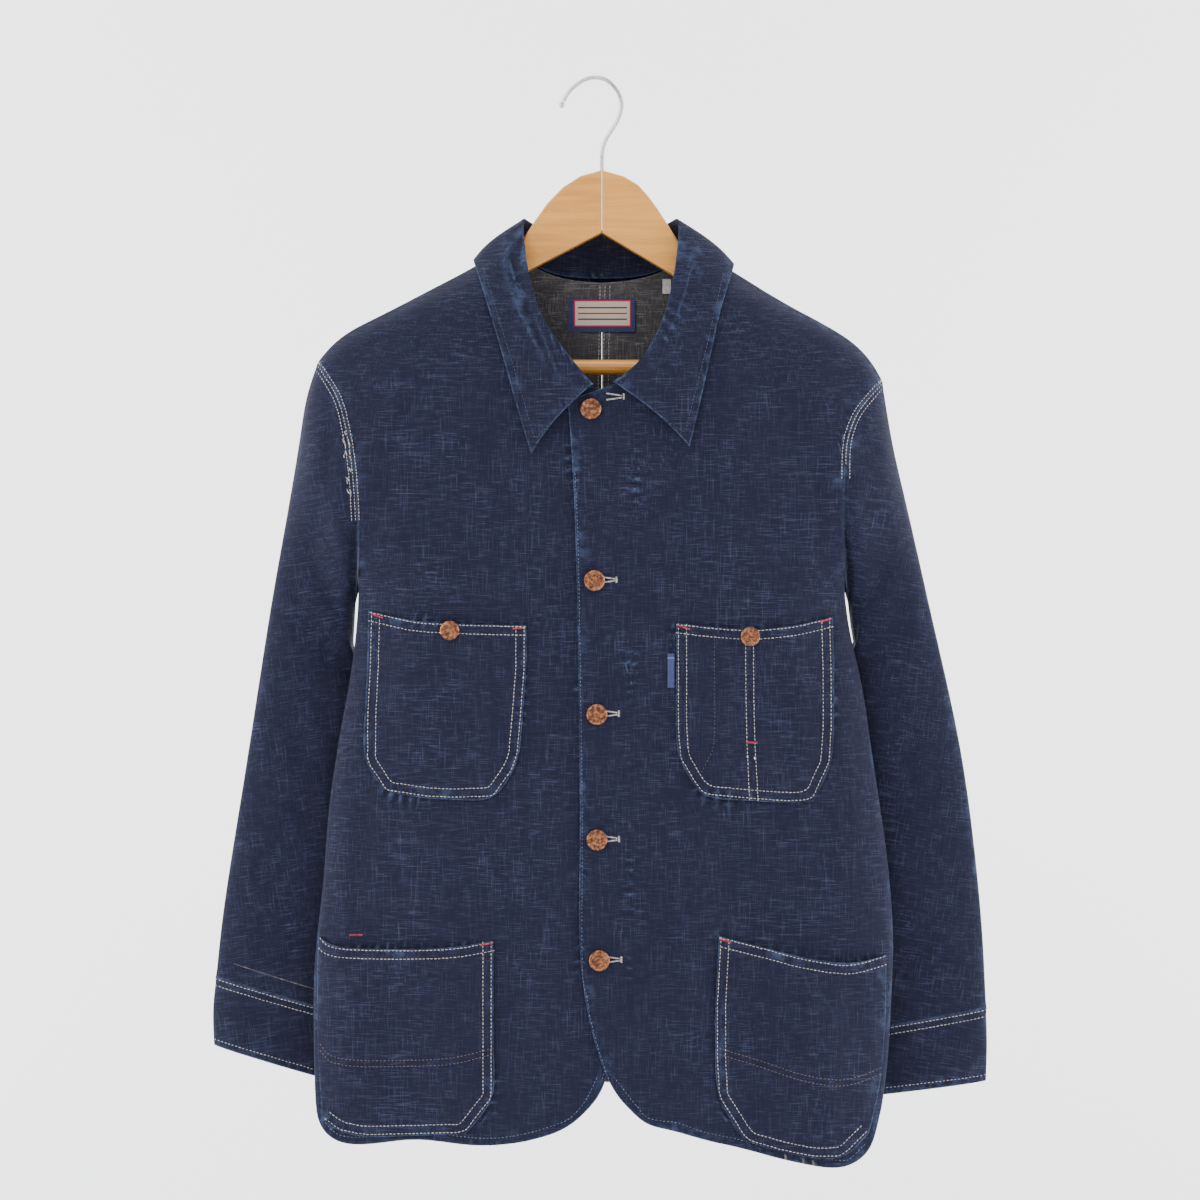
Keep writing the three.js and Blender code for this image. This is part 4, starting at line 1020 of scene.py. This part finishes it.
# bands of a label: low and high x, low and high z, colour
stripes = [(-16, 25.2, z, z + 1.2, tint) for z, tint in ((-188.4, navy), (-193.2, red), (-198.0, navy))]
labelPieces = [
    makeLabel("neck_label", "woven_neck_label", navy, (0.05, 0.07, 0.2, 1),
              [(-19.4, 28.4, -203.6, -181.4, red), (-18.3, 27.4, -202.5, -182.6, cream)] + stripes),
    makeLabel("size_label", "white_size_label", (0.62, 0.6, 0.57, 1), pale, []),
    makeLabel("pocket_tab", "navy_pocket_tab", navy, (0.06, 0.08, 0.22, 1),
              [(50, 70, -481, -480.2, (0.1, 0.12, 0.26, 1))]),
]
print("labels made")

# hanger
woodLook = {"light": (0.56, 0.25, 0.03, 1), "dark": (0.36, 0.125, 0.01, 1), "roughness": 0.42}


def makeWood(name, turn, tint):
    material, tree, shader, vector = newMaterial(name, woodLook["roughness"])
    grain = noise(tree, vector, (12, 160, 160), 1, 5, 0.6, (0, math.radians(turn), 0))
    fine = noise(tree, vector, (30, 1400, 1400), 1, 3, 0.6, (0, math.radians(turn), 0))
    colour = mixed(tree, spread(tree, grain, 0.35, 0.7, 0, tint), woodLook["light"], woodLook["dark"])
    colour = mixed(tree, spread(tree, fine, 0.45, 0.75, 0, 0.35), colour, woodLook["dark"])
    scratch = noise(tree, vector, (1, 1, 2.2), 210, 4, 0.7)
    colour = mixed(tree, spread(tree, scratch, 0.66, 0.72, 0, 0.55), colour, (0.66, 0.42, 0.14, 1))
    tree.links.new(colour, shader.inputs["Base Color"])
    shader.inputs["Coat Weight"].default_value = 0.25
    shader.inputs["Coat Roughness"].default_value = 0.3
    bumped(tree, shader, fine, 0.15, 0.0002)
    return material


steelLook = {"light": (0.56, 0.55, 0.52, 1), "dark": (0.3, 0.29, 0.27, 1), "roughness": 0.3}
steelMaterial, tree, shader, vector = newMaterial("steelWire", steelLook["roughness"], 1.0)
brushed = noise(tree, vector, (1, 1, 1), 900, 3)
colour = mixed(tree, spread(tree, brushed, 0.35, 0.65), steelLook["dark"], steelLook["light"])
tree.links.new(colour, shader.inputs["Base Color"])
tree.links.new(spread(tree, brushed, 0.3, 0.7, 0.24, 0.42), shader.inputs["Roughness"])
bumped(tree, shader, brushed, 0.2, 0.0001)
hangerMaterials = {
    "hanger_arm_left": makeWood("mapleLeft", 29, 0.75), "hanger_arm_right": makeWood("mapleRight", -29, 0.5),
    "hanger_bar": makeWood("mapleBar", 0, 0.6), "hanger_hook": steelMaterial, "hook_ball": steelMaterial,
}
for node, material in hangerMaterials.items():
    nodes[node].data.materials.clear()
    nodes[node].data.materials.append(material)
print("hanger finished")

# the flat cut of each panel, in metres; the loop below only reads each piece's side and nothing uses the table
cuts = {
    # piece: width, length, flat area of the cut
    "front_left": (0.30, 0.76, 0.19), "front_right": (0.30, 0.76, 0.19),
    "back_left": (0.26, 0.74, 0.165), "back_right": (0.26, 0.74, 0.165),
    "top_sleeve_left": (0.19, 0.55, 0.068), "top_sleeve_right": (0.19, 0.55, 0.07),
    "under_sleeve_left": (0.19, 0.55, 0.068), "under_sleeve_right": (0.19, 0.55, 0.07),
    "cuff_left": (0.27, 0.075, 0.0175), "cuff_right": (0.27, 0.075, 0.0175), "collar": (0.46, 0.17, 0.05),
    "chest_pocket_left": (0.137, 0.16, 0.0195), "chest_pocket_right": (0.137, 0.16, 0.0195),
    "lower_pocket_left": (0.15, 0.165, 0.0235), "lower_pocket_right": (0.15, 0.165, 0.0235),
}
for piece, (width, length, area) in cuts.items():
    side = piece.split("_")[-1]

# stage, light and camera
stageLook = {"floorZ": -1.25, "wallY": 1.6, "wallTop": 4.0, "bend": 0.7, "half": 5.0, "front": -4.5,
             "light": (0.93, 0.93, 0.93, 1), "dark": (0.915, 0.915, 0.915, 1)}


def makeStage():
    bm = bmesh.new()
    floorZ, wallY, bend, half = (stageLook[k] for k in ("floorZ", "wallY", "bend", "half"))
    profile = [(stageLook["front"], floorZ), (wallY - bend, floorZ)]
    for a in np.linspace(0.1, math.pi / 2, 12):
        profile.append((wallY - bend + bend * math.sin(a), floorZ + bend - bend * math.cos(a)))
    profile.append((wallY, stageLook["wallTop"]))
    verts = [bm.verts.new((-half, y, z)) for y, z in profile]
    edges = [bm.edges.new(pair) for pair in zip(verts[:-1], verts[1:])]
    made = bmesh.ops.extrude_edge_only(bm, edges=edges)
    moved = [g for g in made["geom"] if isinstance(g, bmesh.types.BMVert)]
    bmesh.ops.translate(bm, verts=moved, vec=(2 * half, 0, 0))
    mesh = bpy.data.meshes.new("floor")
    bm.to_mesh(mesh)
    bm.free()
    mesh.polygons.foreach_set("use_smooth", np.ones(len(mesh.polygons), bool))
    material, tree, shader, vector = newMaterial("paperFloor", 0.9)
    tint = noise(tree, vector, (1, 1, 1), 3, 2)
    tree.links.new(mixed(tree, tint, stageLook["light"], stageLook["dark"]), shader.inputs["Base Color"])
    mesh.materials.append(material)
    obj = bpy.data.objects.new("floor", mesh)
    bpy.context.scene.collection.objects.link(obj)


makeStage()
# lights: place, aim, size in metres, power in watts
lights = [
    ("key", (-1.7, -2.6, 1.3), (0, 0, -0.45), 1.8, 60),
    ("fill", (1.9, -2.4, 0.1), (0, 0, -0.45), 2.4, 22),
    ("top", (0.0, -0.7, 2.2), (0, 0, -0.5), 1.6, 34),
    ("wallLeft", (-2.6, 0.2, -0.2), (0.4, 1.6, -0.45), 2.4, 150),
    ("wallRight", (2.6, 0.2, -0.2), (-0.4, 1.6, -0.45), 2.4, 150),
]
for name, place, aim, size, power in lights:
    data = bpy.data.lights.new(name, "AREA")
    data.size = size
    data.energy = power
    lamp = bpy.data.objects.new(name, data)
    lamp.location = place
    lamp.rotation_euler = (Vector(aim) - Vector(place)).to_track_quat("-Z", "Y").to_euler()
    bpy.context.scene.collection.objects.link(lamp)
world = bpy.data.worlds.new("softRoom")
world.use_nodes = True
worldLook = {"colour": (0.86, 0.88, 0.92, 1), "strength": 1.35}
world.node_tree.nodes["Background"].inputs["Color"].default_value = worldLook["colour"]
world.node_tree.nodes["Background"].inputs["Strength"].default_value = worldLook["strength"]
bpy.context.scene.world = world

cameraLook = {"place": (0.0025, -3.328, -0.433), "lens": 120, "sensor": 36}
cameraData = bpy.data.cameras.new("camera")
cameraData.lens = cameraLook["lens"]
cameraData.sensor_width = cameraLook["sensor"]
camera = bpy.data.objects.new("camera", cameraData)
camera.location = cameraLook["place"]
camera.rotation_euler = (math.pi / 2, 0, 0)
bpy.context.scene.collection.objects.link(camera)
bpy.context.scene.camera = camera

print("scene made")
